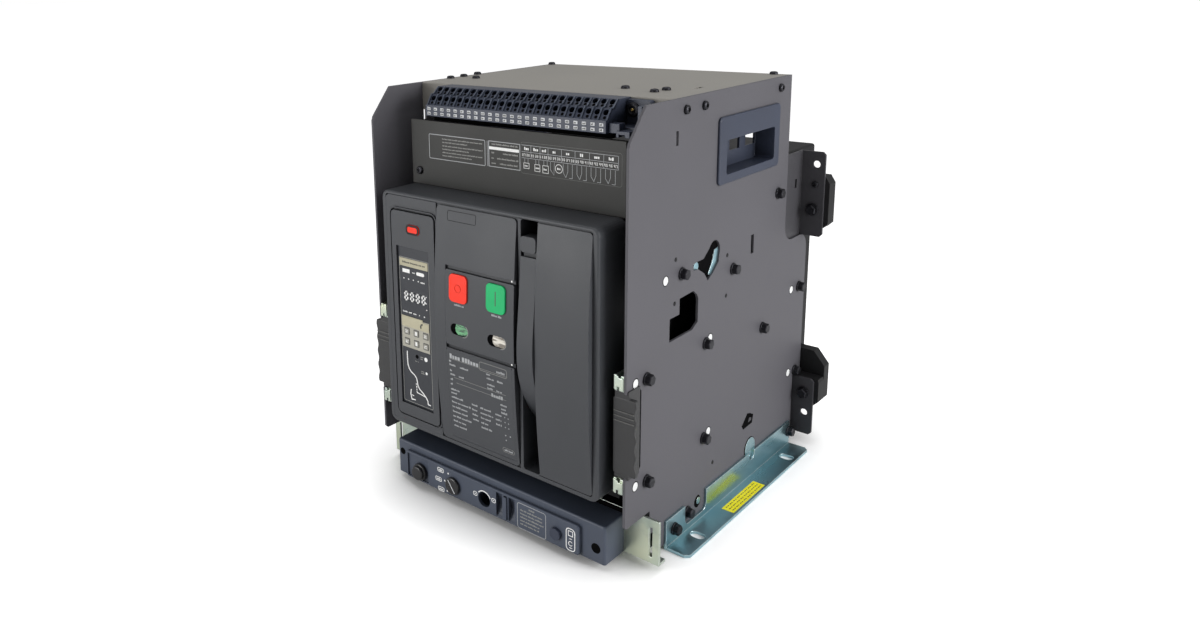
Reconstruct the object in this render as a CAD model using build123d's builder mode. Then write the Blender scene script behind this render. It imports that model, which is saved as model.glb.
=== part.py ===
import os
from build123d import *

os.makedirs("parts", exist_ok=True)

# Driving sizes in millimetres. X is right seen from the front, Y is backwards, Z is up.
# Depths count back from the front edge of the side plates, and at() turns them into Y.
height = 432.0
plate_out = 156.0
plate_t = 2.5
plate_rear_high = 312.0
plate_rear_low = 371.0
plate_rear_foot = 351.0
plate_step_z = 250.0
plate_z0 = 5.0
plate_low_front = 60.0
step_z = 83.0
top_chamfer_depth = 27.0
top_chamfer_drop = 31.0
vent_d = 77.9
vent_z = 397.0
keyhole_d = 152.5
keyhole_z = 276.5
keyhole_r = 11.5
link_d0 = 88.3
link_d1 = 123.5
link_z0 = 209.0
link_z1 = 247.5
link_r = 10.0
link_step = 17.3
link_step_z = 231.5
leg_notch_d = 247.5
leg_notch_z = 34.0
leg_slot_d = 133.5
leg_slot_z = 21.7
latch_d = 234.0
latch_z = 266.0
bolt_slot_d = 239.5
bolt_slot_z = 69.5

# Feet: outboard angles with a slot near each end
foot_t = 3.0
leg_t = 2.5
foot_front = 69.0
foot_back = 343.5
leg_top = 30.0
leg_step_front = 104.5
leg_step_back = 147.0
leg_step_z = 9.0
slot_off = 15.0
slot_edge = 11.0
slot_front = 107.0
slot_rear = 309.0
slot_w = 11.0
slot_len = 15.0

# Floor tray and its front flange
tray_z = 7.6
tray_t = 2.5
tray_rear = 340.0
flange_y = 31.7
flange_top = 52.0
flange_wing = 16.5
flange_lip = 11.3
flange_slot_w = 3.5
flange_slot_h = 30.0

# Top plate
top_t = 2.0
top_front = 75.0
top_flange = 30.0
top_side_flange = 22.0

# Racking panel and bezel
panel_gap = 18.2
panel_z0 = 7.9
panel_z1 = 46.8
bezel_x0 = -120.0
bezel_x1 = 109.0
bezel_z1 = 39.0
bezel_proud = 3.8
crank_x = -98.9
indicator_x = -49.8
socket_x = -7.6
tab_x = 20.5
release_x = 83.0
knob_z = 22.0
crank_r = 9.5
indicator_r = 7.9
pointer_tilt = 35.0
socket_r = 8.0
release_r = 5.9
scoop_w = 8.0
scoop_deep = 6.0

# Cover: flat rim, flat door on the left, and two bowed panels either side of the handle slot
cover_gap = 22.0
cover_z0 = 75.5
cover_z1 = 328.6
cover_front = -10.0
cover_back = 34.4
cover_r = 9.0
cover_edge = 2.4
bow_rise = 7.0
rim_bottom = 4.0
rim_top = 3.4
rim_side = 3.6
groove_w = 1.2
groove_d = 1.6
door_x0 = -119.0
door_x1 = -58.5
door_z0 = 88.5
door_z1 = 311.5
door_proud = 2.5
centre_x0 = -55.5
centre_x1 = 45.0
slot_x0 = 49.4
slot_x1 = 69.2
slot_bottom = 79.5
slot_top = 326.5
window_x0 = -113.0
window_x1 = -66.8
window_z0 = 101.0
window_z1 = 274.5
keypad_x0 = -110.5
keypad_x1 = -70.5
keypad_z0 = 164.5
keypad_z1 = 197.5
ledge_low_z = 184.5
ledge_high_z = 265.5
ledge_h = 4.0
ledge_d = 2.5
button_w = 23.0
button_h = 28.0
button_z = 246.5
button_r = 5.0
off_x = -23.6
on_x = 24.0
window_w = 22.4
window_h = 11.5
window_z = 204.0
reset_x = -87.6
reset_z = 294.0
reset_w = 18.0
reset_h = 10.0

# Breaker body, label plate and lugs
body_side_gap = 25.5
body_z0 = 58.0
body_rear = 292.0
body_top = 345.0
label_t = 2.5
label_below_top = 34.0
lug_w = 9.5
lug_len = 30.0
lug_h = 13.7
lug_front = 60.0
lug_rear = 240.0

# Extension rails, guides and grips
notch_z0 = 103.0
notch_z1 = 181.0
notch_deep = 24.5
guide_w = 9.5
guide_h = 14.5
guide_rear_gap = 4.0
groove_deep = 8.0
groove_web = 3.5
rail_in = 6.5
rail_t = 3.0
slide_gap = 0.3
rail_front = 2.0
rail_rear_gap = 2.0
ledge_z = 140.0
ledge_t = 3.0
ledge_side_gap = 5.0
grip_x0 = 142.5
grip_x1 = 162.0
grip_front = -4.0
grip_back = 20.0
grip_z_gap = 4.0
scallop_r = 5.0
scallops = 5

# Terminal block and its bracket
block_half = 110.0
block_h = 28.5
block_front = 35.0
block_face_h = 11.5
columns = 24
comb_w = 1.1
comb_proud = 1.2
bracket_w = 24.6
clip_in = 9.0
clip_w = 13.5
clip_drop = 2.5

# Hand grips
grip_hole_front = 167.0
grip_hole_back = 270.5
grip_hole_drop = 49.0
grip_hole_h = 33.5
grip_frame = 14.5
grip_frame_t = 2.5
pocket_wall = 2.5
pocket_deep = 21.0
light_w = 22.0
light_h = 13.0
light_gap = 12.5
light_end = 0.5
light_drop = 6.0

# Rear base, terminals and brackets
base_side_gap = 4.5
base_front = 300.0
base_back = 398.0
base_z0 = 22.0
base_z1 = 346.0
leaf_back = 357.5
leaf_t = 2.5
leaf_reach = 23.0
pole_pitch = 95.0
seat_margin = 3.0
seat_floor = 372.0
terminal_back = 430.0
terminal_half_w = 30.0
terminal_t = 15.0
terminal_hole = 6.5
terminal_hole_x = 15.0
terminal_hole_end = 16.0
terminal_upper_z = 255.0
terminal_lower_z = 115.0

# Racking carriage and crank
carriage_half = 85.0
carriage_front = 92.0
carriage_back = 270.0
carriage_t = 5.6
ram_half = 40.0
ram_front = 120.0
ram_back = 240.0
crank_shaft_r = 6.2
crank_end = 50.0

# Charging handle
pivot_z = 118.0
pivot_d = 30.0
pivot_r = 4.0
pin_gap = 0.05
boss_r = 9.0
lever_gap = 0.8
knob_top = 311.5
knob_h = 15.0
lever_top = 292.0

# Clearances shared by several pieces
seat_gap = 0.3
fit_gap = 0.1

slot_x = plate_out + slot_off
foot_out = slot_x + slot_edge
front = -(slot_front + slot_rear) / 2
plate_in = plate_out - plate_t
panel_half = plate_in - panel_gap
cover_half = plate_in - cover_gap
cover_mid_z = (cover_z0 + cover_z1) / 2
bow_half = (cover_z1 - cover_z0) / 2 - rim_bottom
bow_r = (bow_half**2 + bow_rise**2) / (2 * bow_rise)
bow_centre = cover_front - bow_rise + bow_r
door_front = cover_front - door_proud
trip_front = cover_front - 0.5
guide_top_z0 = notch_z1 + groove_web
guide_low_z1 = notch_z0 - 2.0
rail_x0 = plate_in - rail_in
guide_x0 = plate_in - guide_w
block_z1 = height - 0.5
block_z0 = block_z1 - block_h
grip_hole_z1 = height - grip_hole_drop
grip_hole_z0 = grip_hole_z1 - grip_hole_h
base_half = plate_in - base_side_gap
leaf_front = leaf_back - leaf_t
body_half = plate_in - body_side_gap
ledge_in = body_half + ledge_side_gap
guide_end = base_front - guide_rear_gap
rail_end = guide_end - rail_rear_gap


def at(depth):
    return front + depth


def block(x0, x1, d0, d1, z0, z1, mode=Mode.ADD):
    # axis-aligned block between the given limits, in either order along X
    with Locations(((x0 + x1) / 2, at((d0 + d1) / 2), (z0 + z1) / 2)):
        Box(abs(x1 - x0), d1 - d0, z1 - z0, mode=mode)


def bore_y(x, z, r, d0, d1, mode=Mode.SUBTRACT):
    # round hole or boss along Y
    with Locations(Location((x, at((d0 + d1) / 2), z), (90, 0, 0))):
        Cylinder(r, d1 - d0, mode=mode)


def bore_x(d, z, r, x0, x1, mode=Mode.SUBTRACT):
    # round hole or boss along X
    with Locations(Location(((x0 + x1) / 2, at(d), z), (0, 90, 0))):
        Cylinder(r, x1 - x0, mode=mode)


def plate_rect(d0, d1, z0, z1, mode=Mode.ADD):
    # rectangle in a sketch that lies in the YZ plane
    with Locations((at((d0 + d1) / 2), (z0 + z1) / 2)):
        Rectangle(d1 - d0, z1 - z0, mode=mode)


def plate_poly(*points, mode=Mode.SUBTRACT):
    # polygon in a YZ sketch, points given as depth and height
    Polygon(*[(at(d), z) for d, z in points], align=None, mode=mode)


def plate_slot(d, z, length, width, angle=90):
    with Locations((at(d), z)):
        SlotOverall(length, width, rotation=angle, mode=Mode.SUBTRACT)


def rounded(x0, x1, d0, d1, z0, z1, radius):
    # block whose four edges along Y are rounded
    with BuildPart() as piece:
        block(x0, x1, d0, d1, z0, z1)
        fillet(piece.edges().filter_by(Axis.Y), radius)
    return piece.part


def bowed(x0, x1, d1, z0, z1, radius, proud=0.0):
    # rounded block whose front follows the bow of the cover
    with BuildPart() as piece:
        block(x0, x1, cover_front - bow_rise - proud - 1, d1, z0, z1)
        fillet(piece.edges().filter_by(Axis.Y), radius)
        bore_x(bow_centre, cover_mid_z, bow_r + proud, x0 - 1, x1 + 1, Mode.INTERSECT)
    return piece.part


# Side plates: chamfered front top, notch for the rail grip, stepped rear
with BuildPart() as side_plate_right:
    with BuildSketch(Plane.YZ.offset(plate_in)) as plate_outline:
        plate_rect(0, plate_rear_high, plate_step_z, height)
        plate_rect(0, plate_rear_low, step_z, plate_step_z)
        plate_rect(plate_low_front, plate_rear_foot, plate_z0, step_z + 1)
        plate_rect(0, plate_low_front + 1, flange_top + 0.5, step_z + 1)
        plate_rect(flange_y + flange_lip - 1, plate_low_front + 1, leg_top - 1.5, step_z)
        plate_rect(-1, notch_deep, notch_z0, notch_z1, Mode.SUBTRACT)
        plate_poly((-1, height - top_chamfer_drop - 1), (top_chamfer_depth, height + 1), (-1, height + 1))
        chamfer(plate_outline.vertices().filter_by_position(Axis.X, at(-0.5), at(0.5)), 2.5)
        chamfer(plate_outline.vertices().filter_by_position(Axis.X, at(notch_deep - 0.5), at(notch_deep + 0.5)), 2)
        fillet(plate_outline.vertices().filter_by_position(Axis.Y, plate_step_z - 0.5, plate_step_z + 0.5), 18)
        frame_gap = pocket_wall + 0.2
        plate_rect(
            grip_hole_front - pocket_wall - frame_gap,
            grip_hole_back + pocket_wall + frame_gap,
            grip_hole_z0 - pocket_wall - frame_gap,
            grip_hole_z1 + pocket_wall + frame_gap,
            Mode.SUBTRACT,
        )
        plate_rect(vent_d - 2, vent_d + 2, vent_z - 6.5, vent_z + 6.5, Mode.SUBTRACT)
        plate_rect(latch_d - 3.25, latch_d + 3.25, latch_z - 10, latch_z + 10, Mode.SUBTRACT)
        plate_slot(leg_notch_d, leg_notch_z, 22, 9.5)
        plate_slot(bolt_slot_d, bolt_slot_z, 17, 8, 35)
        plate_slot(leg_slot_d, leg_slot_z, 13.5, 6)
        with Locations((at(keyhole_d), keyhole_z)):
            Circle(keyhole_r, mode=Mode.SUBTRACT)
        plate_poly(
            (keyhole_d - 21, keyhole_z - 2.2),
            (keyhole_d - 10, keyhole_z + 5.7),
            (keyhole_d + 11, keyhole_z - 3.5),
            (keyhole_d + 9.3, keyhole_z - 12.1),
            (keyhole_d - 2, keyhole_z - 21.2),
            (keyhole_d - 11.5, keyhole_z - 25.9),
            (keyhole_d - 18.9, keyhole_z - 16.9),
            (keyhole_d - 30.6, keyhole_z - 10.1),
            (keyhole_d - 39.3, keyhole_z - 9.3),
            (keyhole_d - 40.8, keyhole_z - 3.8),
            (keyhole_d - 34.8, keyhole_z - 2.1),
        )
        plate_poly(
            (link_d0, link_z0),
            (link_d0, link_z1 - 1),
            (link_d1 - link_r, link_z1),
            (link_d1 - 3, link_z1 - 5),
            (link_d1, link_z1 - link_r),
            (link_d1, link_z0 + 5),
            (link_d1 - link_r, link_z0),
        )
        plate_rect(link_d0 - link_step, link_d0 + 1, link_z0, link_step_z, Mode.SUBTRACT)
    extrude(amount=plate_t)
side_plate_right.part.label = "side_plate_right"

with BuildPart() as side_plate_left:
    mirror(side_plate_right.part, about=Plane.YZ)
side_plate_left.part.label = "side_plate_left"

# Top plate with a front flange and two side flanges turned down
with BuildPart() as top_plate:
    block(-plate_in, plate_in, top_front, plate_rear_high, height - top_t, height)
    block(-plate_in, plate_in, top_front, top_front + top_t, height - top_flange, height)
    for side in (-1, 1):
        edge = side * plate_in
        block(edge - side * top_t, edge, top_front, plate_rear_high - 2, height - top_side_flange, height)
    bend = top_plate.edges().filter_by(Axis.X).group_by(Axis.Z)[-1].sort_by(Axis.Y)[0]
    fillet(bend, top_t - 0.2)
    with Locations((130.5, at(160), height - top_t / 2)):
        Box(5, 14, 2 * top_t, mode=Mode.SUBTRACT)
top_plate.part.label = "top_plate"

# Tray between the side plates: floor and a front flange with wings
tray_half = plate_in - 0.2
flange_out = plate_out + flange_wing
with BuildPart() as base_tray:
    block(-tray_half, tray_half, flange_y, tray_rear, tray_z, tray_z + tray_t)
    block(-flange_out, flange_out, flange_y, flange_y + flange_lip, tray_z, tray_z + tray_t)
    block(-flange_out, flange_out, flange_y, flange_y + tray_t, tray_z, flange_top)
    for side in (-1, 1):
        with BuildSketch(Plane.XZ.offset(-at(flange_y - 1))):
            with Locations((side * (flange_out - 9), 29)):
                Rectangle(flange_slot_w, flange_slot_h)
        extrude(amount=-(tray_t + 2), mode=Mode.SUBTRACT)
    for x in (crank_x, socket_x):
        block(x - 9, x + 9, flange_y - 1, flange_y + tray_t + 1, tray_z + tray_t + 1, 34, Mode.SUBTRACT)
base_tray.part.label = "base_tray"

# Foot brackets: angles with a stepped leg and two slots for the floor bolts
with BuildPart() as foot_bracket_right:
    block(plate_out, foot_out, foot_front, foot_back, 0, foot_t)
    chamfer(foot_bracket_right.edges().filter_by(Axis.Z).group_by(Axis.X)[-1], 4)
    with BuildSketch(Plane.YZ.offset(plate_out)) as leg_outline:
        plate_rect(foot_front, foot_back, 0, leg_top)
        plate_rect(leg_step_front, leg_step_back, leg_step_z, leg_top + 1, Mode.SUBTRACT)
        fillet(leg_outline.vertices().filter_by_position(Axis.Y, leg_step_z - 0.5, leg_step_z + 0.5), 7)
        plate_slot(leg_notch_d, leg_notch_z - 2, 22, 12)
    extrude(amount=leg_t)
    for d in (slot_front, slot_rear):
        with BuildSketch(Plane.XY):
            with Locations((slot_x, at(d))):
                SlotOverall(slot_len, slot_w)
        extrude(amount=foot_t, mode=Mode.SUBTRACT)
foot_bracket_right.part.label = "foot_bracket_right"

with BuildPart() as foot_bracket_left:
    mirror(foot_bracket_right.part, about=Plane.YZ)
foot_bracket_left.part.label = "foot_bracket_left"

# Racking panel below the cover, and the raised bezel on its face
well_half = 9.0
well_z0 = panel_z0 + 4
scoop_half = (bezel_z1 - panel_z0 - 4) / 2
scoop_r = (scoop_half**2 + scoop_deep**2) / (2 * scoop_deep)
scoop_d = scoop_deep - scoop_r - bezel_proud
scoop_z = (panel_z0 + bezel_z1) / 2
tab_half = 2.0
tab_z0 = 10.5
tab_z1 = 36.5
tab_slot = tab_half + fit_gap
scoop_starts = (tab_x - tab_half - 2 - scoop_w, tab_x + tab_half + 2)
with BuildPart() as racking_panel:
    block(-panel_half, panel_half, 0, flange_y, panel_z0, panel_z1)
    fillet(racking_panel.edges().filter_by(Axis.Z).group_by(Axis.Y)[0], 2.5)
    fillet(racking_panel.edges().filter_by(Axis.X).group_by(Axis.Z)[-1].group_by(Axis.Y)[0], 2)
    for x, deep in ((crank_x, flange_y + 1), (socket_x, flange_y + 1), (indicator_x, 22), (release_x, 22)):
        block(x - well_half, x + well_half, -1, deep, well_z0, well_z0 + 2 * well_half + 4, Mode.SUBTRACT)
    block(tab_x - tab_slot, tab_x + tab_slot, -1, 22, tab_z0, tab_z1, Mode.SUBTRACT)
    for x0 in scoop_starts:
        bore_x(scoop_d, scoop_z, scoop_r, x0, x0 + scoop_w)
    bore_y(125.3, 22, 3, -1, 8)
racking_panel.part.label = "racking_panel"

with BuildPart() as racking_bezel:
    block(bezel_x0, bezel_x1, -bezel_proud, 0, panel_z0 + 0.5, bezel_z1)
    chamfer(racking_bezel.edges().filter_by(Axis.Y), 2)
    chamfer(racking_bezel.faces().sort_by(Axis.Y)[0].edges(), 0.8)
    block(bezel_x0 + 2.5, crank_x + 12.5, -bezel_proud - 1, 1.8 - bezel_proud, 10.5, 36.5, Mode.SUBTRACT)
    bore_y(crank_x, knob_z - 2, crank_shaft_r + seat_gap, -bezel_proud - 1, 1)
    bore_y(indicator_x, knob_z, indicator_r + fit_gap, -bezel_proud - 1, 1)
    bore_y(socket_x, knob_z, socket_r, -bezel_proud - 1, 1)
    bore_y(release_x, knob_z, release_r + fit_gap, -bezel_proud - 1, 1)
    block(tab_x - tab_slot, tab_x + tab_slot, -9, 1, tab_z0, tab_z1, Mode.SUBTRACT)
    for x0 in scoop_starts:
        bore_x(scoop_d, scoop_z, scoop_r, x0, x0 + scoop_w)
racking_bezel.part.label = "racking_bezel"

# Guide bars for the extension rails: H-shaped, fixed to the inner face of each side plate
guide_low_z0 = guide_low_z1 - guide_h
groove_x0 = rail_x0 - slide_gap
groove_x1 = rail_x0 + rail_t + slide_gap
with BuildPart() as rail_guides_right:
    for z0, open_z in ((guide_top_z0, guide_top_z0), (guide_low_z0, guide_low_z1)):
        block(guide_x0, plate_in, 0, guide_end, z0, z0 + guide_h)
        inward = 1 if open_z == guide_top_z0 else -1
        far_z = z0 + guide_h if inward == 1 else z0
        for edge, deep in ((open_z, inward * groove_deep), (far_z, -inward * groove_web)):
            low = min(edge, edge + deep) - (0.5 if deep > 0 else 0)
            high = max(edge, edge + deep) + (0.5 if deep < 0 else 0)
            block(groove_x0, groove_x1, -1, guide_end + 1, low, high, Mode.SUBTRACT)
rail_guides_right.part.label = "rail_guides_right"

with BuildPart() as rail_guides_left:
    mirror(rail_guides_right.part, about=Plane.YZ)
rail_guides_left.part.label = "rail_guides_left"

# Extension rails: plate running in the guide grooves, with an inward ledge for the breaker's lugs
with BuildPart() as extension_rail_right:
    rail_z0 = guide_low_z1 - groove_deep + slide_gap
    rail_z1 = guide_top_z0 + groove_deep - slide_gap
    block(rail_x0, rail_x0 + rail_t, rail_front, rail_end, rail_z0, rail_z1)
    block(ledge_in, rail_x0, lug_front - lug_len, rail_end, ledge_z - ledge_t, ledge_z)
extension_rail_right.part.label = "extension_rail_right"

with BuildPart() as extension_rail_left:
    mirror(extension_rail_right.part, about=Plane.YZ)
extension_rail_left.part.label = "extension_rail_left"

# Pull grips on the rails' front ends: scalloped on the outer side, three grooves across the face
grip_z0 = notch_z0 + grip_z_gap
grip_z1 = notch_z1 - grip_z_gap
scallop_pitch = (grip_z1 - grip_z0) / scallops
with BuildPart() as rail_grip_right:
    block(grip_x0, grip_x1, grip_front, rail_front, grip_z0, grip_z1)
    block(rail_x0 + rail_t, grip_x1, grip_front, grip_back, grip_z0, grip_z1)
    fillet(rail_grip_right.edges().filter_by(Axis.X).group_by(Axis.Y)[0], 1.5)
    for k in range(scallops):
        z = grip_z0 + scallop_pitch * (k + 0.5)
        with Locations(Location((grip_x1 + scallop_r - 1.2, at(8), z), (90, 0, 0))):
            Cylinder(scallop_r, 30, mode=Mode.SUBTRACT)
    for k in range(3):
        z = (grip_z0 + grip_z1) / 2 + 8 + 4.2 * k
        block(grip_x0 - 1, grip_x1 + 1, grip_front - 1, grip_front + 1, z, z + 2, Mode.SUBTRACT)
rail_grip_right.part.label = "rail_grip_right"

with BuildPart() as rail_grip_left:
    mirror(rail_grip_right.part, about=Plane.YZ)
rail_grip_left.part.label = "rail_grip_left"

# Control terminal block: a marker strip and two sloped banks, parted into columns by proud dividers
block_back = top_front
face_z = block_z0 + block_face_h
bank_front = block_front + 3.0
step_d = bank_front + 6.5
step_z0 = face_z + 9.5
step_back = step_d + 3.5
bank_back = step_back + 7.0
with BuildPart() as terminal_block:
    with BuildSketch(Plane.YZ.offset(-block_half)):
        plate_poly(
            (block_front, block_z0),
            (block_front, face_z),
            (bank_front, face_z),
            (step_d, step_z0),
            (step_back, step_z0),
            (bank_back, block_z1),
            (block_back, block_z1),
            (block_back, block_z0),
            mode=Mode.ADD,
        )
    extrude(amount=2 * block_half)
    for k in range(columns + 1):
        divider_x = (block_half - comb_w / 2) * (2 * k / columns - 1)
        with BuildSketch(Plane.YZ.offset(divider_x - comb_w / 2)):
            plate_poly(
                (bank_front - comb_proud, face_z),
                (step_d - comb_proud, step_z0 + comb_proud),
                (step_back - comb_proud, step_z0 + comb_proud),
                (bank_back - comb_proud, block_z1),
                (block_back, block_z1),
                (block_back, face_z),
                mode=Mode.ADD,
            )
        extrude(amount=comb_w)
terminal_block.part.label = "terminal_block"

bracket_x0 = block_half + 0.4
with BuildPart() as terminal_bracket:
    block(bracket_x0, bracket_x0 + bracket_w, block_back - 7, block_back, block_z0 + 0.5, block_z1 - 1.5)
    block(bracket_x0, bracket_x0 + bracket_w, block_back - 27, block_back - 7, block_z0 + 0.5, block_z0 + 5)
    block(bracket_x0, bracket_x0 + 11, block_front + 4, block_back - 27, block_z0 + 0.5, block_z0 + 9)
    clip_x0 = bracket_x0 + clip_in
    clip_z0 = block_z0 - clip_drop
    block(clip_x0, clip_x0 + clip_w, block_front + 2, block_back - 26, clip_z0, block_z0 + 3)
    block(clip_x0 + 2.5, clip_x0 + 9, block_front, block_front + 7, clip_z0 - 1, block_z0, Mode.SUBTRACT)
    cheek = bracket_x0 + bracket_w
    block(cheek - 4, cheek, block_back - 22, block_back - 7, block_z0 + 5, block_z1 - 5)
    fillet(terminal_bracket.edges().filter_by(Axis.Y).group_by(Axis.X)[-1].group_by(Axis.Z)[-1], 3)
terminal_bracket.part.label = "terminal_bracket"

# Recessed hand grips through the side plates, each with two windows in its back wall
frame_d0 = grip_hole_front - grip_frame
frame_d1 = grip_hole_back + grip_frame - 2.5
frame_z0 = grip_hole_z0 - grip_frame / 2 - 1.5
frame_z1 = grip_hole_z1 + grip_frame + 8.5
pocket_x = plate_out - pocket_deep
with BuildPart() as hand_grip_right:
    block(plate_out, plate_out + grip_frame_t, frame_d0, frame_d1, frame_z0, frame_z1)
    fillet(hand_grip_right.edges().filter_by(Axis.X), 5)
    chamfer(hand_grip_right.faces().sort_by(Axis.X)[-1].edges(), 0.8)
    with BuildSketch(Plane.YZ.offset(pocket_x)):
        plate_rect(
            grip_hole_front - pocket_wall,
            grip_hole_back + pocket_wall,
            grip_hole_z0 - pocket_wall,
            grip_hole_z1 + pocket_wall,
        )
    extrude(amount=pocket_deep)
    with BuildSketch(Plane.YZ.offset(pocket_x + pocket_wall)) as pocket_mouth:
        plate_rect(grip_hole_front, grip_hole_back, grip_hole_z0, grip_hole_z1)
        fillet(pocket_mouth.vertices(), 3)
    extrude(amount=pocket_deep + 1, mode=Mode.SUBTRACT)
    for d0 in (grip_hole_back - 2 * light_w - light_gap, grip_hole_back - light_w):
        z1 = grip_hole_z1 - light_drop
        block(
            pocket_x - 1,
            pocket_x + pocket_wall + 1,
            d0 - light_end,
            d0 - light_end + light_w,
            z1 - light_h,
            z1,
            Mode.SUBTRACT,
        )
hand_grip_right.part.label = "hand_grip_right"

with BuildPart() as hand_grip_left:
    mirror(hand_grip_right.part, about=Plane.YZ)
hand_grip_left.part.label = "hand_grip_left"

# Moulded rear base with a seat round each main terminal, and ears behind the brackets
ear_in = base_half - 9
ear_out = plate_out + leaf_reach + 5
ear_t = 16.0
ear_bevel = 5.0
with BuildPart() as rear_base:
    block(-base_half, base_half, base_front, base_back, base_z0, base_z1)
    fillet(rear_base.edges().filter_by(Axis.Y), 3)
    for side in (-1, 1):
        for d0, deep, z0, z1, slope in (
            (leaf_back, ear_t, plate_step_z + 10, base_z1 - 28, 5),
            (leaf_back, ear_t, base_z0 + 28, step_z - 1, 1),
            (plate_rear_low + 1, ear_t - 3, base_z0 + 28, step_z + 27, 13),
        ):
            with BuildSketch(Plane.XZ.offset(-at(d0))):
                outline = (
                    (ear_in, z0),
                    (ear_out - ear_bevel, z0),
                    (ear_out, z0 + ear_bevel),
                    (ear_out, z1 - slope - 3),
                    (ear_out - slope, z1),
                    (ear_in, z1),
                )
                Polygon(*[(side * x, z) for x, z in outline], align=None)
            extrude(amount=-deep)
    for x in (-pole_pitch, 0, pole_pitch):
        for z in (terminal_lower_z, terminal_upper_z):
            x0 = x - terminal_half_w - seat_margin
            x1 = x + terminal_half_w + seat_margin
            z0 = z - terminal_t / 2 - seat_margin
            z1 = z + terminal_t / 2 + seat_margin
            block(x0, x1, seat_floor, base_back + 1, z0, z1, Mode.SUBTRACT)
rear_base.part.label = "rear_base"


# Main terminals: three flat bars in a row, each with two bolt holes
def terminal_row(z):
    for x in (-pole_pitch, 0, pole_pitch):
        z0 = z - terminal_t / 2
        z1 = z + terminal_t / 2
        block(x - terminal_half_w, x + terminal_half_w, seat_floor, terminal_back, z0, z1)
        for dx in (-terminal_hole_x, terminal_hole_x):
            with Locations((x + dx, at(terminal_back - terminal_hole_end), z)):
                Cylinder(terminal_hole, terminal_t + 2, mode=Mode.SUBTRACT)


with BuildPart() as upper_terminals:
    terminal_row(terminal_upper_z)
upper_terminals.part.label = "upper_terminals"

with BuildPart() as lower_terminals:
    terminal_row(terminal_lower_z)
lower_terminals.part.label = "lower_terminals"

# Rear angle brackets, two each side: a leaf on the side plate and one turned outwards behind it
leaf_in = plate_in - leaf_t
leaf_out = plate_out + leaf_reach
with BuildPart() as rear_brackets:
    for side in (-1, 1):
        for z0, z1, hole_z in ((plate_step_z, plate_step_z + 95, 331), (14, step_z - 1, 40)):
            side_z0 = max(z0, tray_z + 38)
            block(side * leaf_in, side * plate_in, plate_rear_high - 12, leaf_back, side_z0, z1)
            block(side * leaf_in, side * leaf_out, leaf_front, leaf_back, z0, z1)
            bore_y(side * (leaf_out - 9.4), hole_z, 4, leaf_front - 1, leaf_back + 1)
    corners = rear_brackets.edges().filter_by(Axis.Y).group_by(Axis.X)
    chamfer(corners[0] + corners[-1], 3)
    with BuildSketch(Plane.YZ.offset(-plate_in - 1)):
        with Locations((at(leaf_back - 16.5), plate_step_z + 60)):
            Rectangle(5, 10)
    extrude(amount=2 * plate_in + 2, mode=Mode.SUBTRACT)
rear_brackets.part.label = "rear_brackets"

# Racking carriage on the tray floor, pushing the breaker from below
carriage_z0 = tray_z + tray_t + seat_gap
carriage_z1 = carriage_z0 + carriage_t
with BuildPart() as racking_carriage:
    block(-carriage_half, carriage_half, carriage_front, carriage_back, carriage_z0, carriage_z1)
    block(-ram_half, ram_half, ram_front, ram_back, carriage_z1, body_z0 - seat_gap)
racking_carriage.part.label = "racking_carriage"

# Stowed racking crank: knob and shaft
with BuildPart() as racking_crank:
    bore_y(crank_x, knob_z - 2, crank_shaft_r, -12, crank_end, Mode.ADD)
    bore_y(crank_x, knob_z - 2, crank_r, -16, 1.5 - bezel_proud, Mode.ADD)
    chamfer(racking_crank.edges().filter_by(GeomType.CIRCLE).group_by(Axis.Y)[0], 1.5)
racking_crank.part.label = "racking_crank"

# Rotary position indicator
with BuildPart() as position_indicator:
    bore_y(indicator_x, knob_z, indicator_r, -bezel_proud - 2, 12, Mode.ADD)
    with Locations(Location((indicator_x, at(-bezel_proud - 2), knob_z), (0, -pointer_tilt, 0))):
        Box(2.4, 3, 3 * indicator_r, mode=Mode.SUBTRACT)
position_indicator.part.label = "position_indicator"

# Padlock tab that pulls out of the bezel
with BuildPart() as padlock_tab:
    block(tab_x - tab_half, tab_x + tab_half, -bezel_proud - 1.5, 20, tab_z0 + 1, tab_z1 - 1)
    bore_x(4, (tab_z0 + tab_z1) / 2, 3, tab_x - 5, tab_x + 5)
padlock_tab.part.label = "padlock_tab"

# Release button
with BuildPart() as release_button:
    bore_y(release_x, knob_z, release_r, -bezel_proud - 3.5, 8, Mode.ADD)
release_button.part.label = "release_button"

# Breaker body behind the cover
with BuildPart() as breaker_body:
    block(-body_half, body_half, cover_back, body_rear, body_z0, cover_z1)
    block(-body_half + 12, body_half - 12, cover_back + label_t, body_rear, cover_z1, body_top)
    block(slot_x0 - 1, slot_x1 + 1, cover_back - 1, 75, pivot_z - 48, pivot_z + 82, Mode.SUBTRACT)
breaker_body.part.label = "breaker_body"

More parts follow.
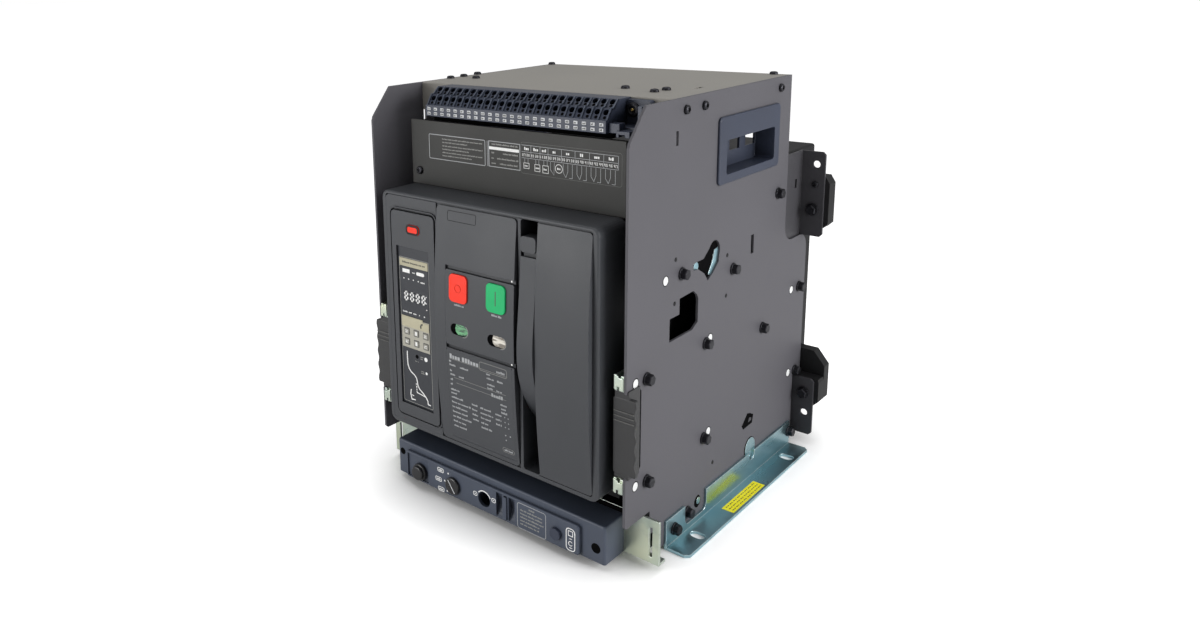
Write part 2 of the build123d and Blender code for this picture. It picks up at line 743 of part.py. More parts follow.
# Front cover: rim with a pocket for the raised door and bowed panels, slot, windows and ledges
right_x1 = cover_half - rim_side
with BuildPart() as front_cover:
    block(-cover_half, cover_half, cover_front, cover_back, cover_z0, cover_z1)
    fillet(front_cover.edges().filter_by(Axis.Y), cover_r)
    chamfer(front_cover.faces().sort_by(Axis.Y)[0].edges(), cover_edge)
    groove_back = cover_front + groove_d
    panel_z_low = cover_z0 + rim_bottom
    panel_z_high = cover_z1 - rim_top
    for x0, x1, z0, z1 in (
        (door_x0, door_x1, door_z0, door_z1),
        (centre_x0, centre_x1, panel_z_low, panel_z_high),
        (slot_x1, right_x1, panel_z_low, panel_z_high),
    ):
        x0_cut = x0 - groove_w
        x1_cut = x1 + groove_w
        block(x0_cut, x1_cut, cover_front - 1, groove_back, z0 - groove_w, z1 + groove_w, Mode.SUBTRACT)
    add(rounded(door_x0, door_x1, door_front, groove_back, door_z0, door_z1, 5))
    add(bowed(centre_x0, centre_x1, groove_back, panel_z_low, panel_z_high, 5))
    add(bowed(slot_x1 - 5, right_x1, groove_back, panel_z_low, panel_z_high, 4))
    far = cover_front - 2 * bow_rise
    add(rounded(slot_x0, slot_x1, far, cover_back + 1, slot_bottom, slot_top, 3), mode=Mode.SUBTRACT)
    block(window_x0, window_x1, far, trip_front + 8, window_z0, window_z1, Mode.SUBTRACT)
    insert_x0 = centre_x0 + 14
    for z in (ledge_low_z, ledge_high_z):
        z0 = z - ledge_h / 2
        with BuildPart(mode=Mode.PRIVATE) as ledge:
            block(insert_x0, centre_x1 + 1, far, cover_front + 2, z0, z0 + ledge_h)
            bore_x(bow_centre, cover_mid_z, bow_r - ledge_d, -200, 200)
        add(ledge.part, mode=Mode.SUBTRACT)
    insert_z0 = ledge_low_z + ledge_h / 2
    insert_z1 = ledge_high_z - ledge_h / 2
    block(insert_x0, centre_x1 + 1, far, cover_front + 2, insert_z0, insert_z1, Mode.SUBTRACT)
    plate_z0_low = panel_z_low + 3
    block(insert_x0, centre_x1 - 3, far, cover_front - 0.5, plate_z0_low, ledge_low_z - ledge_h / 2 - 1, Mode.SUBTRACT)
    for x in (off_x, on_x):
        half_w = button_w / 2 + fit_gap
        half_h = button_h / 2 + fit_gap
        block(x - half_w, x + half_w, far, 20, button_z - half_h, button_z + half_h, Mode.SUBTRACT)
    half_w = reset_w / 2 + fit_gap
    half_h = reset_h / 2 + fit_gap
    reset_hole = rounded(reset_x - half_w, reset_x + half_w, far, 20, reset_z - half_h, reset_z + half_h, 4)
    add(reset_hole, mode=Mode.SUBTRACT)
    bore_x(pivot_d, pivot_z, pivot_r, slot_x0 - 1, slot_x1 + 1, Mode.ADD)
front_cover.part.label = "front_cover"

# Label plate standing above the cover
with BuildPart() as label_plate:
    block(-cover_half, cover_half, cover_back, cover_back + label_t, cover_z1 + 1.4, height - label_below_top)
label_plate.part.label = "label_plate"

# Trip unit in its window, and the keypad on it
with BuildPart() as trip_unit:
    gap = seat_gap
    block(window_x0 + gap, window_x1 - gap, trip_front, trip_front + 8, window_z0 + gap, window_z1 - gap)
    block(keypad_x0, keypad_x1, trip_front - 1, trip_front + 0.8, keypad_z0, keypad_z1, Mode.SUBTRACT)
trip_unit.part.label = "trip_unit"

with BuildPart() as trip_keypad:
    gap = fit_gap
    block(keypad_x0 + gap, keypad_x1 - gap, trip_front - 0.4, trip_front + 0.8, keypad_z0 + gap, keypad_z1 - gap)
trip_keypad.part.label = "trip_keypad"

# Control panel: bowed insert with the push buttons' openings and two indicator windows
with BuildPart() as control_panel:
    gap = fit_gap
    add(bowed(insert_x0 + gap, centre_x1 - gap, cover_front + 2, insert_z0 + gap, insert_z1 - gap, 2))
    for x in (off_x, on_x):
        half_w = button_w / 2 + fit_gap
        half_h = button_h / 2 + fit_gap
        z0 = button_z - half_h
        z1 = button_z + half_h
        add(rounded(x - half_w, x + half_w, far, 20, z0, z1, button_r), mode=Mode.SUBTRACT)
        half_w = window_w / 2
        half_h = window_h / 2
        z0 = window_z - half_h
        z1 = window_z + half_h
        add(rounded(x - half_w, x + half_w, far, cover_front, z0, z1, half_h - 0.05), mode=Mode.SUBTRACT)
control_panel.part.label = "control_panel"

with BuildPart() as nameplate:
    z1 = ledge_low_z - ledge_h / 2 - 1
    add(bowed(insert_x0 + gap, centre_x1 - 3 - gap, cover_front - 0.5, plate_z0_low + gap, z1 - gap, 2))
nameplate.part.label = "nameplate"

with BuildPart() as status_indicators:
    for x in (off_x, on_x):
        half_w = window_w / 2 - seat_gap
        half_h = window_h / 2 - seat_gap
        add(bowed(x - half_w, x + half_w, cover_front, window_z - half_h, window_z + half_h, half_h - 0.05, -1.2))
status_indicators.part.label = "status_indicators"

# Lugs that carry the breaker on the extension rails
with BuildPart() as support_lugs:
    for side in (-1, 1):
        for d in (lug_front, lug_rear):
            z0 = ledge_z + seat_gap
            block(side * body_half, side * (body_half + lug_w), d, d + lug_len, z0, z0 + lug_h)
support_lugs.part.label = "support_lugs"

# Charging handle: bowed lever with a pivot eye, a neck and a rounded knob on top
lever_x0 = slot_x0 + lever_gap
lever_x1 = slot_x1 - lever_gap
with BuildPart() as charging_handle:
    with BuildSketch(Plane.YZ.offset(lever_x0)):
        with BuildLine():
            Spline(
                (at(-12), lever_top),
                (at(-17), 233),
                (at(-19.3), 195),
                (at(-10), 155),
                (at(10), 125),
                tangents=((-0.05, -1), (0.7, -0.7)),
            )
            Line((at(10), 125), (at(pivot_d - 7), pivot_z - 5))
            Line((at(pivot_d - 7), pivot_z - 5), (at(pivot_d), pivot_z + 8))
            Spline(
                (at(pivot_d), pivot_z + 8),
                (at(4), 155),
                (at(-8), 200),
                (at(-6), 240),
                (at(0), lever_top),
                tangents=((-0.7, 0.7), (0.1, 1)),
            )
            Line((at(0), lever_top), (at(-12), lever_top))
        make_face()
    extrude(amount=lever_x1 - lever_x0)
    bore_x(pivot_d, pivot_z, boss_r, lever_x0, lever_x1, Mode.ADD)
    block(lever_x0 + 2, lever_x1 - 2, -9, -1, lever_top - 1, knob_top - knob_h + 1)
    add(rounded(lever_x0 + 1, lever_x1, -13, 0, knob_top - knob_h, knob_top, 3.5))
    bore_x(pivot_d, pivot_z, pivot_r + pin_gap, lever_x0 - 1, lever_x1 + 1)
charging_handle.part.label = "charging_handle"

# Push buttons, standing a little proud of the faces round them
button_proud = 1.5
with BuildPart() as off_button:
    half_w = button_w / 2
    half_h = button_h / 2
    add(bowed(off_x - half_w, off_x + half_w, 14, button_z - half_h, button_z + half_h, button_r, button_proud))
off_button.part.label = "off_button"

with BuildPart() as on_button:
    add(bowed(on_x - half_w, on_x + half_w, 14, button_z - half_h, button_z + half_h, button_r, button_proud))
on_button.part.label = "on_button"

with BuildPart() as reset_button:
    half_w = reset_w / 2
    half_h = reset_h / 2
    d0 = door_front - 1
    add(rounded(reset_x - half_w, reset_x + half_w, d0, 14, reset_z - half_h, reset_z + half_h, 4))
reset_button.part.label = "reset_button"

export_step(side_plate_left.part, "parts/side_plate_left.step")
export_step(side_plate_right.part, "parts/side_plate_right.step")
export_step(top_plate.part, "parts/top_plate.step")
export_step(base_tray.part, "parts/base_tray.step")
export_step(foot_bracket_left.part, "parts/foot_bracket_left.step")
export_step(foot_bracket_right.part, "parts/foot_bracket_right.step")
export_step(racking_panel.part, "parts/racking_panel.step")
export_step(racking_bezel.part, "parts/racking_bezel.step")
export_step(rail_guides_left.part, "parts/rail_guides_left.step")
export_step(rail_guides_right.part, "parts/rail_guides_right.step")
export_step(extension_rail_left.part, "parts/extension_rail_left.step")
export_step(extension_rail_right.part, "parts/extension_rail_right.step")
export_step(rail_grip_left.part, "parts/rail_grip_left.step")
export_step(rail_grip_right.part, "parts/rail_grip_right.step")
export_step(terminal_block.part, "parts/terminal_block.step")
export_step(terminal_bracket.part, "parts/terminal_bracket.step")
export_step(hand_grip_left.part, "parts/hand_grip_left.step")
export_step(hand_grip_right.part, "parts/hand_grip_right.step")
export_step(rear_base.part, "parts/rear_base.step")
export_step(upper_terminals.part, "parts/upper_terminals.step")
export_step(lower_terminals.part, "parts/lower_terminals.step")
export_step(rear_brackets.part, "parts/rear_brackets.step")
export_step(racking_carriage.part, "parts/racking_carriage.step")
export_step(racking_crank.part, "parts/racking_crank.step")
export_step(position_indicator.part, "parts/position_indicator.step")
export_step(padlock_tab.part, "parts/padlock_tab.step")
export_step(release_button.part, "parts/release_button.step")
export_step(breaker_body.part, "parts/breaker_body.step")
export_step(front_cover.part, "parts/front_cover.step")
export_step(label_plate.part, "parts/label_plate.step")
export_step(trip_unit.part, "parts/trip_unit.step")
export_step(trip_keypad.part, "parts/trip_keypad.step")
export_step(control_panel.part, "parts/control_panel.step")
export_step(nameplate.part, "parts/nameplate.step")
export_step(status_indicators.part, "parts/status_indicators.step")
export_step(support_lugs.part, "parts/support_lugs.step")
export_step(charging_handle.part, "parts/charging_handle.step")
export_step(off_button.part, "parts/off_button.step")
export_step(on_button.part, "parts/on_button.step")
export_step(reset_button.part, "parts/reset_button.step")
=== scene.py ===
"""Looks of a drawout air circuit breaker in its cradle: finishes, screws, terminals and printed marks."""
import math
import random

import bmesh
import bpy
from bpy.props import FloatProperty, FloatVectorProperty, IntProperty, PointerProperty
from mathutils import Matrix, Vector


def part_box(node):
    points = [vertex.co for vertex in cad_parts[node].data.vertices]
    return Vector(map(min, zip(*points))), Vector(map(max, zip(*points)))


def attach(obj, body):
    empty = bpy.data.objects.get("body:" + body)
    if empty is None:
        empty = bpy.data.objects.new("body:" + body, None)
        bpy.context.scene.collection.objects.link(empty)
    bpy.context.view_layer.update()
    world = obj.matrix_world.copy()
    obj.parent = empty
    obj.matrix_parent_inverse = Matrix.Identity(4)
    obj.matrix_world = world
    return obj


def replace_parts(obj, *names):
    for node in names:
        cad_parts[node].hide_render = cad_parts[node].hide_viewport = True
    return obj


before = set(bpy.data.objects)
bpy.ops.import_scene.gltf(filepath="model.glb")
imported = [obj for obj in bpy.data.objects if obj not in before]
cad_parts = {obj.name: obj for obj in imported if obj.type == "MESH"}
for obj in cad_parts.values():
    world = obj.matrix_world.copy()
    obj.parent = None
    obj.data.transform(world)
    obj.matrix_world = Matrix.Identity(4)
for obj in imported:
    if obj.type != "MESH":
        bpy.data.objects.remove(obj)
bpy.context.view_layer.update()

bl_info = {
    "name": "Drawout Breaker Looks",
    "version": (1, 0, 0),
    "blender": (4, 5, 0),
    "location": "View3D > Sidebar > Breaker",
    "description": "Finishes, screws, terminals and printed marks of a drawout air circuit breaker",
    "category": "Object",
}

MM = 0.001
FORWARD = (0, -1, 0)

# Faces of the frame, in millimetres. Depths count back from the front edge of the side plates.
PLATE_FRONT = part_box("side_plate_right")[0].y
PLATE_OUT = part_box("side_plate_right")[1].x / MM
PLATE_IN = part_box("side_plate_right")[0].x / MM
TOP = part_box("top_plate")[1].z / MM


def front_depth(node):
    """Depth of a node's foremost face, in millimetres."""
    return (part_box(node)[0].y - PLATE_FRONT) / MM


LABEL_DEPTH = front_depth("label_plate")
TRIP_DEPTH = front_depth("trip_unit")
KEYPAD_DEPTH = front_depth("trip_keypad")
BEZEL_DEPTH = front_depth("racking_bezel")
BLOCK_DEPTH = front_depth("terminal_block")

# The cover's bow: a large cylinder across X, through the rims of the centre panel
COVER_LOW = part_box("front_cover")[0] / MM
COVER_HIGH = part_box("front_cover")[1] / MM
BOW_RISE = 7.0
BOW_RIM = 4.0
BOW_MIDDLE = (COVER_LOW.z + COVER_HIGH.z) / 2
BOW_HALF = (COVER_HIGH.z - COVER_LOW.z) / 2 - BOW_RIM
BOW_RADIUS = (BOW_HALF**2 + BOW_RISE**2) / (2 * BOW_RISE)
BOW_CENTRE = front_depth("front_cover") + BOW_RADIUS
RIM_DEPTH = front_depth("front_cover") + BOW_RISE


def srgb(red, green, blue, alpha=1.0):
    """Linear colour of a screen colour given as 0 to 255."""

    def linear(value):
        part = value / 255
        return part / 12.92 if part <= 0.04045 else ((part + 0.055) / 1.055) ** 2.4

    return (linear(red), linear(green), linear(blue), alpha)


def shade(colour, factor):
    """The colour made darker or lighter by a factor."""
    return (colour[0] * factor, colour[1] * factor, colour[2] * factor, 1.0)


# Settings a user may change


def colour_setting(name, description, colour):
    return FloatVectorProperty(
        name=name, description=description, subtype="COLOR", size=4, min=0.0, max=1.0, default=colour
    )


def length_setting(name, description, metres):
    return FloatProperty(
        name=name, description=description, default=metres, min=0.0, subtype="DISTANCE", unit="LENGTH"
    )


def power_setting(name, description, watts):
    return FloatProperty(name=name, description=description, default=watts, subtype="POWER", unit="POWER")


class BreakerColours(bpy.types.PropertyGroup):
    side_paint: colour_setting("Side Paint", "Powder coat of the side plates", srgb(82, 81, 86))
    top_paint: colour_setting("Top Paint", "Powder coat of the top plate", srgb(140, 137, 131))
    label_paint: colour_setting("Label Plate", "Paint of the label plate above the cover", srgb(52, 52, 50))
    cover: colour_setting("Cover", "Moulded front cover", srgb(58, 60, 64))
    panel: colour_setting("Blue Moulding", "Terminals, hand grips and release button", srgb(47, 53, 69))
    bezel: colour_setting("Racking Panel", "Racking panel, its bezel and tab", srgb(66, 73, 87))
    black: colour_setting("Black Moulding", "Grips of the extension rails", srgb(46, 46, 47))
    film: colour_setting("Display Film", "Dark film over the trip unit's display", srgb(38, 41, 48))
    cream: colour_setting("Cream Film", "Strip and keypad of the trip unit", srgb(178, 172, 146))
    ink: colour_setting("White Ink", "Printed marks", srgb(246, 246, 244))
    dull_ink: colour_setting("Dull Ink", "Thin frames and rules", srgb(172, 174, 176))
    red: colour_setting("Red", "OFF and reset buttons", srgb(252, 46, 12))
    green: colour_setting("Green", "ON button", srgb(2, 178, 104))
    sticker: colour_setting("Sticker", "Plain yellow sticker on the foot", srgb(255, 240, 4))


class BreakerSizes(bpy.types.PropertyGroup):
    ink_lift: length_setting("Ink Lift", "How far a printed mark stands proud", 0.0001)
    ink_sink: length_setting("Ink Sink", "How far a printed mark reaches into its face", 0.00005)
    bolt_width: length_setting("Bolt Width", "Hex bolts of the side plates, across the corners", 0.0114)
    bolt_height: length_setting("Bolt Height", "Hex bolts of the side plates, from the plate up", 0.0068)
    screw_width: length_setting("Screw Width", "Pan screws of the top plate", 0.0086)
    well_width: length_setting("Well Width", "Round screw wells of the terminal block", 0.006)
    well_depth: length_setting("Well Depth", "How deep the terminal screws sit", 0.0065)
    edge_width: length_setting("Edge Width", "Width of the softened and worn edges", 0.0007)
    round_sides: IntProperty(
        name="Round Sides", description="Sides of round screws", default=24, min=12, max=64
    )


class BreakerStudio(bpy.types.PropertyGroup):
    floor_size: length_setting("Floor Size", "Side of the square floor", 120.0)
    sky: FloatProperty(name="Sky", description="Strength of the white surroundings", default=0.44, min=0.0)
    key_power: power_setting("Key Light", "Power of the soft light on the right", 24.0)
    top_power: power_setting("Top Light", "Power of the soft light above", 8.0)
    front_power: power_setting("Front Light", "Power of the soft light in front", 15.5)


def colours():
    return bpy.context.scene.breaker_colours


def sizes():
    return bpy.context.scene.breaker_sizes


# Node trees


class Tree:
    """Short ways to add nodes to one node tree and to join them."""

    def __init__(self, tree):
        self.tree = tree

    def feed(self, socket, value):
        if isinstance(value, bpy.types.NodeSocket):
            self.tree.links.new(value, socket)
        else:
            socket.default_value = value

    def add(self, kind, inputs=None, **settings):
        node = self.tree.nodes.new(kind)
        for name, value in settings.items():
            setattr(node, name, value)
        for name, value in (inputs or {}).items():
            self.feed(node.inputs[name], value)
        return node

    def calc(self, operation, *values):
        node = self.add("ShaderNodeMath", dict(enumerate(values)), operation=operation)
        return node.outputs[0]

    def mix(self, factor, first, second):
        node = self.add("ShaderNodeMix", {0: factor, 6: first, 7: second}, data_type="RGBA")
        return node.outputs[2]

    def spread(self, value, low, high, to_low=0.0, to_high=1.0):
        inputs = {"Value": value, "From Min": low, "From Max": high, "To Min": to_low, "To Max": to_high}
        return self.add("ShaderNodeMapRange", inputs).outputs[0]

    def noise(self, scale, detail=2.0, stretch=(1.0, 1.0, 1.0)):
        place = self.add("ShaderNodeTexCoord").outputs["Object"]
        if stretch != (1.0, 1.0, 1.0):
            place = self.add("ShaderNodeMapping", {"Vector": place, "Scale": stretch}).outputs[0]
        return self.add("ShaderNodeTexNoise", {"Vector": place, "Scale": scale, "Detail": detail}).outputs[0]


def start_group(name, inputs, outputs):
    """An empty shader node group with float inputs, and its inner tree, input and output nodes."""
    group = bpy.data.node_groups.new(name, "ShaderNodeTree")
    for label, value in inputs:
        socket = group.interface.new_socket(label, in_out="INPUT", socket_type="NodeSocketFloat")
        socket.default_value = value
    for label, kind in outputs:
        group.interface.new_socket(label, in_out="OUTPUT", socket_type=kind)
    tree = Tree(group)
    return group, tree, tree.add("NodeGroupInput"), tree.add("NodeGroupOutput")


def grain_group():
    """Fine grain for bump, and broad tone for colour and roughness."""
    name = "Moulded Grain"
    if name in bpy.data.node_groups:
        return bpy.data.node_groups[name]
    group, tree, start, end = start_group(
        name,
        (("Fine Scale", 1500.0), ("Broad Scale", 18.0)),
        (("Height", "NodeSocketFloat"), ("Tone", "NodeSocketFloat")),
    )
    tree.feed(end.inputs["Height"], tree.noise(start.outputs["Fine Scale"], 2.0))
    tree.feed(end.inputs["Tone"], tree.spread(tree.noise(start.outputs["Broad Scale"], 4.0), 0.3, 0.7))
    return group


def edge_wear_highlight_group():
    """Mask of the edges, broken up by noise, for lightening them as wear and painted highlight, and a normal
    that rounds them.
    """
    name = "Worn Edges"
    if name in bpy.data.node_groups:
        return bpy.data.node_groups[name]
    group, tree, start, end = start_group(
        name,
        (("Width", 0.0007), ("Breakup", 220.0)),
        (("Mask", "NodeSocketFloat"), ("Normal", "NodeSocketVector")),
    )
    rounded = tree.add("ShaderNodeBevel", {"Radius": start.outputs["Width"]}, samples=6).outputs[0]
    flat = tree.add("ShaderNodeNewGeometry").outputs["Normal"]
    facing = tree.add("ShaderNodeVectorMath", {0: rounded, 1: flat}, operation="DOT_PRODUCT").outputs["Value"]
    bend = tree.calc("MULTIPLY", tree.calc("SUBTRACT", 1.0, facing), 5.0)
    patches = tree.spread(tree.noise(start.outputs["Breakup"], 3.0), 0.35, 0.6, 0.25, 1.0)
    mask = tree.add("ShaderNodeClamp", {"Value": tree.calc("MULTIPLY", bend, patches)}).outputs[0]
    tree.feed(end.inputs["Mask"], mask)
    tree.feed(end.inputs["Normal"], rounded)
    return group


def corner_shade_group():
    """Openness of a place: near 0 deep in a slot or corner, 1 in the open. It masks the painted shade in
    slots and corners.
    """
    name = "Deep Corners"
    if name in bpy.data.node_groups:
        return bpy.data.node_groups[name]
    group, tree, start, end = start_group(name, (("Reach", 0.03),), (("Open", "NodeSocketFloat"),))
    inputs = {"Distance": start.outputs["Reach"]}
    open_sky = tree.add("ShaderNodeAmbientOcclusion", inputs, samples=8).outputs["AO"]
    tree.feed(end.inputs["Open"], tree.spread(open_sky, 0.12, 0.72))
    return group


def start_material(name, constants):
    """A new material, its tree and its shader with the constant sockets set on the shader itself."""
    material = bpy.data.materials.new(name)
    material.use_nodes = True
    tree = Tree(material.node_tree)
    shader = material.node_tree.nodes["Principled BSDF"]
    for label, value in constants.items():
        shader.inputs[label].default_value = value
    return material, tree, shader


def coat_surface(tree, shader, colour, worn_highlit_colour, look):
    """Colour variation, grain, softened edges lightened as wear and painted highlight, painted shade in slots
    and corners, and uneven roughness on one shader.
    """
    grain = tree.add("ShaderNodeGroup", node_tree=grain_group())
    grain.inputs["Fine Scale"].default_value = look["grain"]
    grain.inputs["Broad Scale"].default_value = look["patch"]
    edges = tree.add("ShaderNodeGroup", node_tree=edge_wear_highlight_group())
    edges.inputs["Width"].default_value = sizes().edge_width * look.get("edge", 1.0)
    tone = grain.outputs["Tone"]
    body = tree.mix(tone, shade(colour, 1 - look["spread"]), shade(colour, 1 + look["spread"]))
    speck = tree.calc("MULTIPLY", tree.spread(grain.outputs["Height"], 0.4, 0.75), look.get("speck", 0.08))
    body = tree.mix(speck, body, shade(worn_highlit_colour, 0.8))
    # Edges lighten towards the worn colour: wear and painted highlight
    wear_highlight = tree.calc("MULTIPLY", edges.outputs["Mask"], look["wear_highlight"])
    # Painted shade: in slots and corners the colour darkens to deep times itself
    corners = tree.add("ShaderNodeGroup", node_tree=corner_shade_group())
    body = tree.mix(corners.outputs["Open"], shade(colour, look.get("deep", 0.2)), body)
    tree.feed(shader.inputs["Base Color"], tree.mix(wear_highlight, body, worn_highlit_colour))
    low, high = look["rough"]
    tree.feed(shader.inputs["Roughness"], tree.spread(tone, 0.0, 1.0, low, high))
    inputs = {
        "Strength": look["bump"],
        "Distance": look["depth"],
        "Height": grain.outputs["Height"],
        "Normal": edges.outputs["Normal"],
    }
    tree.feed(shader.inputs["Normal"], tree.add("ShaderNodeBump", inputs).outputs[0])


def painted(name, colour, worn_highlit_colour=None):
    """Matt powder coat with a fine orange peel."""
    material, tree, shader = start_material(name, {"Specular IOR Level": 0.35})
    # deep sets how dark the painted shade in slots and corners makes the coat
    look = {
        "grain": 1400.0, "patch": 9.0, "spread": 0.06, "wear_highlight": 0.5, "deep": 0.45,
        "rough": (0.5, 0.62), "bump": 0.25, "depth": 0.0003,
    }
    coat_surface(tree, shader, colour, worn_highlit_colour or shade(colour, 1.9), look)
    return material


def moulded(name, colour, rough=(0.42, 0.54), wear_highlight=0.6, bump=0.22, specular=0.45):
    """Spark-eroded plastic moulding."""
    material, tree, shader = start_material(name, {"Specular IOR Level": specular})
    look = {
        "grain": 2600.0, "patch": 14.0, "spread": 0.07, "wear_highlight": wear_highlight,
        "rough": rough, "bump": bump, "depth": 0.0002,
    }
    coat_surface(tree, shader, colour, shade(colour, 2.4), look)
    return material


def zinc_plated(name, main, cloud, streak, stain):
    """Passivated zinc: metal with clouds, rolling streaks and dull stains."""
    material, tree, shader = start_material(name, {"Metallic": 1.0})
    clouds = tree.spread(tree.noise(11.0, 3.0), 0.34, 0.66)
    streaks = tree.spread(tree.noise(60.0, 4.0, (1.0, 0.12, 1.0)), 0.3, 0.7)
    tint = tree.mix(clouds, main, cloud)
    tint = tree.mix(tree.calc("MULTIPLY", streaks, 0.35), tint, streak)
    stains = tree.spread(tree.noise(26.0, 4.0), 0.56, 0.72, 0.0, 0.6)
    tint = tree.mix(stains, tint, stain)
    edges = tree.add("ShaderNodeGroup", node_tree=edge_wear_highlight_group())
    edges.inputs["Width"].default_value = sizes().edge_width * 1.4
    # Lighter edges: wear and painted highlight
    tree.feed(shader.inputs["Base Color"], tree.mix(edges.outputs["Mask"], tint, srgb(232, 240, 240)))
    tree.feed(shader.inputs["Roughness"], tree.spread(streaks, 0.0, 1.0, 0.24, 0.42))
    inputs = {"Strength": 0.2, "Distance": 0.0002, "Height": streaks, "Normal": edges.outputs["Normal"]}
    tree.feed(shader.inputs["Normal"], tree.add("ShaderNodeBump", inputs).outputs[0])
    return material


def bright_metal(name, colour, rough=(0.22, 0.38)):
    """Plated metal with fine scratches."""
    material, tree, shader = start_material(name, {"Metallic": 1.0})
    scratches = tree.spread(tree.noise(320.0, 5.0, (1.0, 0.08, 1.0)), 0.35, 0.65)
    dull = tree.spread(tree.noise(45.0, 3.0), 0.4, 0.7)
    body = tree.mix(tree.calc("MULTIPLY", dull, 0.6), colour, shade(colour, 0.62))
    edges = tree.add("ShaderNodeGroup", node_tree=edge_wear_highlight_group())
    edges.inputs["Width"].default_value = sizes().edge_width * 0.6
    # Lighter edges: wear and painted highlight
    tree.feed(shader.inputs["Base Color"], tree.mix(edges.outputs["Mask"], body, shade(colour, 1.15)))
    tree.feed(shader.inputs["Roughness"], tree.spread(scratches, 0.0, 1.0, rough[0], rough[1]))
    inputs = {"Strength": 0.15, "Distance": 0.0001, "Height": scratches, "Normal": edges.outputs["Normal"]}
    tree.feed(shader.inputs["Normal"], tree.add("ShaderNodeBump", inputs).outputs[0])
    return material


def printed(name, colour, rough=0.5):
    """Screen printed ink with a slightly uneven coat."""
    material, tree, shader = start_material(name, {"Roughness": rough})
    coat = tree.spread(tree.noise(900.0, 3.0), 0.3, 0.7)
    tree.feed(shader.inputs["Base Color"], tree.mix(coat, shade(colour, 0.86), shade(colour, 1.04)))
    inputs = {"Strength": 0.1, "Distance": 0.00005, "Height": coat}
    tree.feed(shader.inputs["Normal"], tree.add("ShaderNodeBump", inputs).outputs[0])
    return material


def button_plastic(name, colour):
    """Satin coloured moulding of a push button."""
    constants = {"Coat Weight": 0.08, "Coat Roughness": 0.25, "Specular IOR Level": 0.3}
    material, tree, shader = start_material(name, constants)
    look = {
        "grain": 1800.0, "patch": 60.0, "spread": 0.05, "wear_highlight": 0.3, "edge": 1.8,
        "rough": (0.36, 0.46), "bump": 0.12, "depth": 0.0002, "speck": 0.02,
    }
    coat_surface(tree, shader, colour, shade(colour, 1.25), look)
    return material


def status_lens(name):
    """Clear window over two drums: green on the left, silver on the right."""
    material, tree, shader = start_material(
        name, {"Coat Weight": 1.0, "Coat Roughness": 0.06, "Specular IOR Level": 0.6}
    )
    place = tree.add("ShaderNodeTexCoord").outputs["Object"]
    across = tree.add("ShaderNodeSeparateXYZ", {0: place}).outputs["X"]
    right = tree.calc("GREATER_THAN", across, 0.0)
    flecks = tree.spread(tree.noise(260.0, 4.0, (0.35, 1.0, 1.6)), 0.42, 0.6)
    green = tree.mix(flecks, srgb(20, 78, 48), srgb(86, 168, 108))
    silver = tree.mix(flecks, srgb(120, 112, 100), srgb(226, 220, 208))
    tree.feed(shader.inputs["Base Color"], tree.mix(right, green, silver))
    tree.feed(shader.inputs["Roughness"], tree.spread(flecks, 0.0, 1.0, 0.22, 0.4))
    inputs = {"Strength": 0.3, "Distance": 0.0003, "Height": flecks}
    tree.feed(shader.inputs["Normal"], tree.add("ShaderNodeBump", inputs).outputs[0])
    return material


def make_finishes():
    """Every material of the breaker, by its plain name."""
    tone = colours()
    recipes = (
        ("side paint", painted, tone.side_paint),
        ("top paint", painted, tone.top_paint),
        ("label paint", painted, tone.label_paint, shade(tone.label_paint, 1.6)),
        ("cover moulding", moulded, tone.cover),
        ("panel moulding", moulded, tone.panel, (0.38, 0.5)),
        ("black moulding", moulded, tone.black, (0.4, 0.52)),
        ("bezel moulding", moulded, tone.bezel, (0.38, 0.5)),
        ("deep black", moulded, srgb(18, 18, 20), (0.5, 0.65), 0.4, 0.2, 0.3),
        # Near black, laid where only shade falls: painted shade
        ("void black", moulded, srgb(5, 5, 6), (0.8, 0.95), 0.05, 0.1, 0.05),
        (
            "blue zinc", zinc_plated,
            srgb(152, 190, 200), srgb(178, 206, 210), srgb(132, 174, 192), srgb(84, 104, 112),
        ),
        (
            "pale zinc", zinc_plated,
            srgb(214, 220, 190), srgb(176, 196, 196), srgb(222, 222, 198), srgb(140, 156, 150),
        ),
        # A darker copy of the side paint for faces that turn from the light: painted shade
        ("bracket paint", painted, shade(tone.side_paint, 0.55)),
        ("tinned copper", bright_metal, srgb(206, 204, 198)),
        ("bright zinc", bright_metal, srgb(226, 228, 226), (0.18, 0.3)),
        ("brass", bright_metal, srgb(206, 180, 116), (0.2, 0.34)),
        ("black oxide", bright_metal, srgb(58, 58, 62), (0.34, 0.5)),
        ("gloss black", moulded, srgb(24, 24, 26), (0.26, 0.36), 0.6, 0.1, 0.6),
        # Lighter grey for the ribs of the black grips: painted highlight
        ("grip edge", moulded, srgb(84, 84, 82), (0.4, 0.5)),
        ("display film", printed, tone.film, 0.32),
        ("cream film", moulded, tone.cream, (0.4, 0.5), 0.15, 0.08),
        ("white ink", printed, tone.ink),
        ("dull ink", printed, tone.dull_ink),
        ("dark ink", printed, srgb(70, 70, 66)),
        ("key rim", printed, srgb(92, 92, 90)),
        ("key grey", moulded, srgb(150, 148, 138), (0.4, 0.5), 0.15, 0.08),
        ("keypad grey", moulded, srgb(166, 163, 150), (0.4, 0.5), 0.15, 0.08),
        ("key ink", printed, srgb(150, 150, 146)),
        ("tag white", printed, srgb(206, 208, 210)),
        ("rivet white", printed, srgb(225, 226, 226), 0.3),
        ("red button", button_plastic, tone.red),
        ("green button", button_plastic, tone.green),
        ("status lens", status_lens),
        ("yellow sticker", printed, tone.sticker, 0.34),
        ("sticker ink", printed, srgb(120, 108, 40)),
    )
    return {name: recipe(name, *settings) for name, recipe, *settings in recipes}


FINISHES = {}

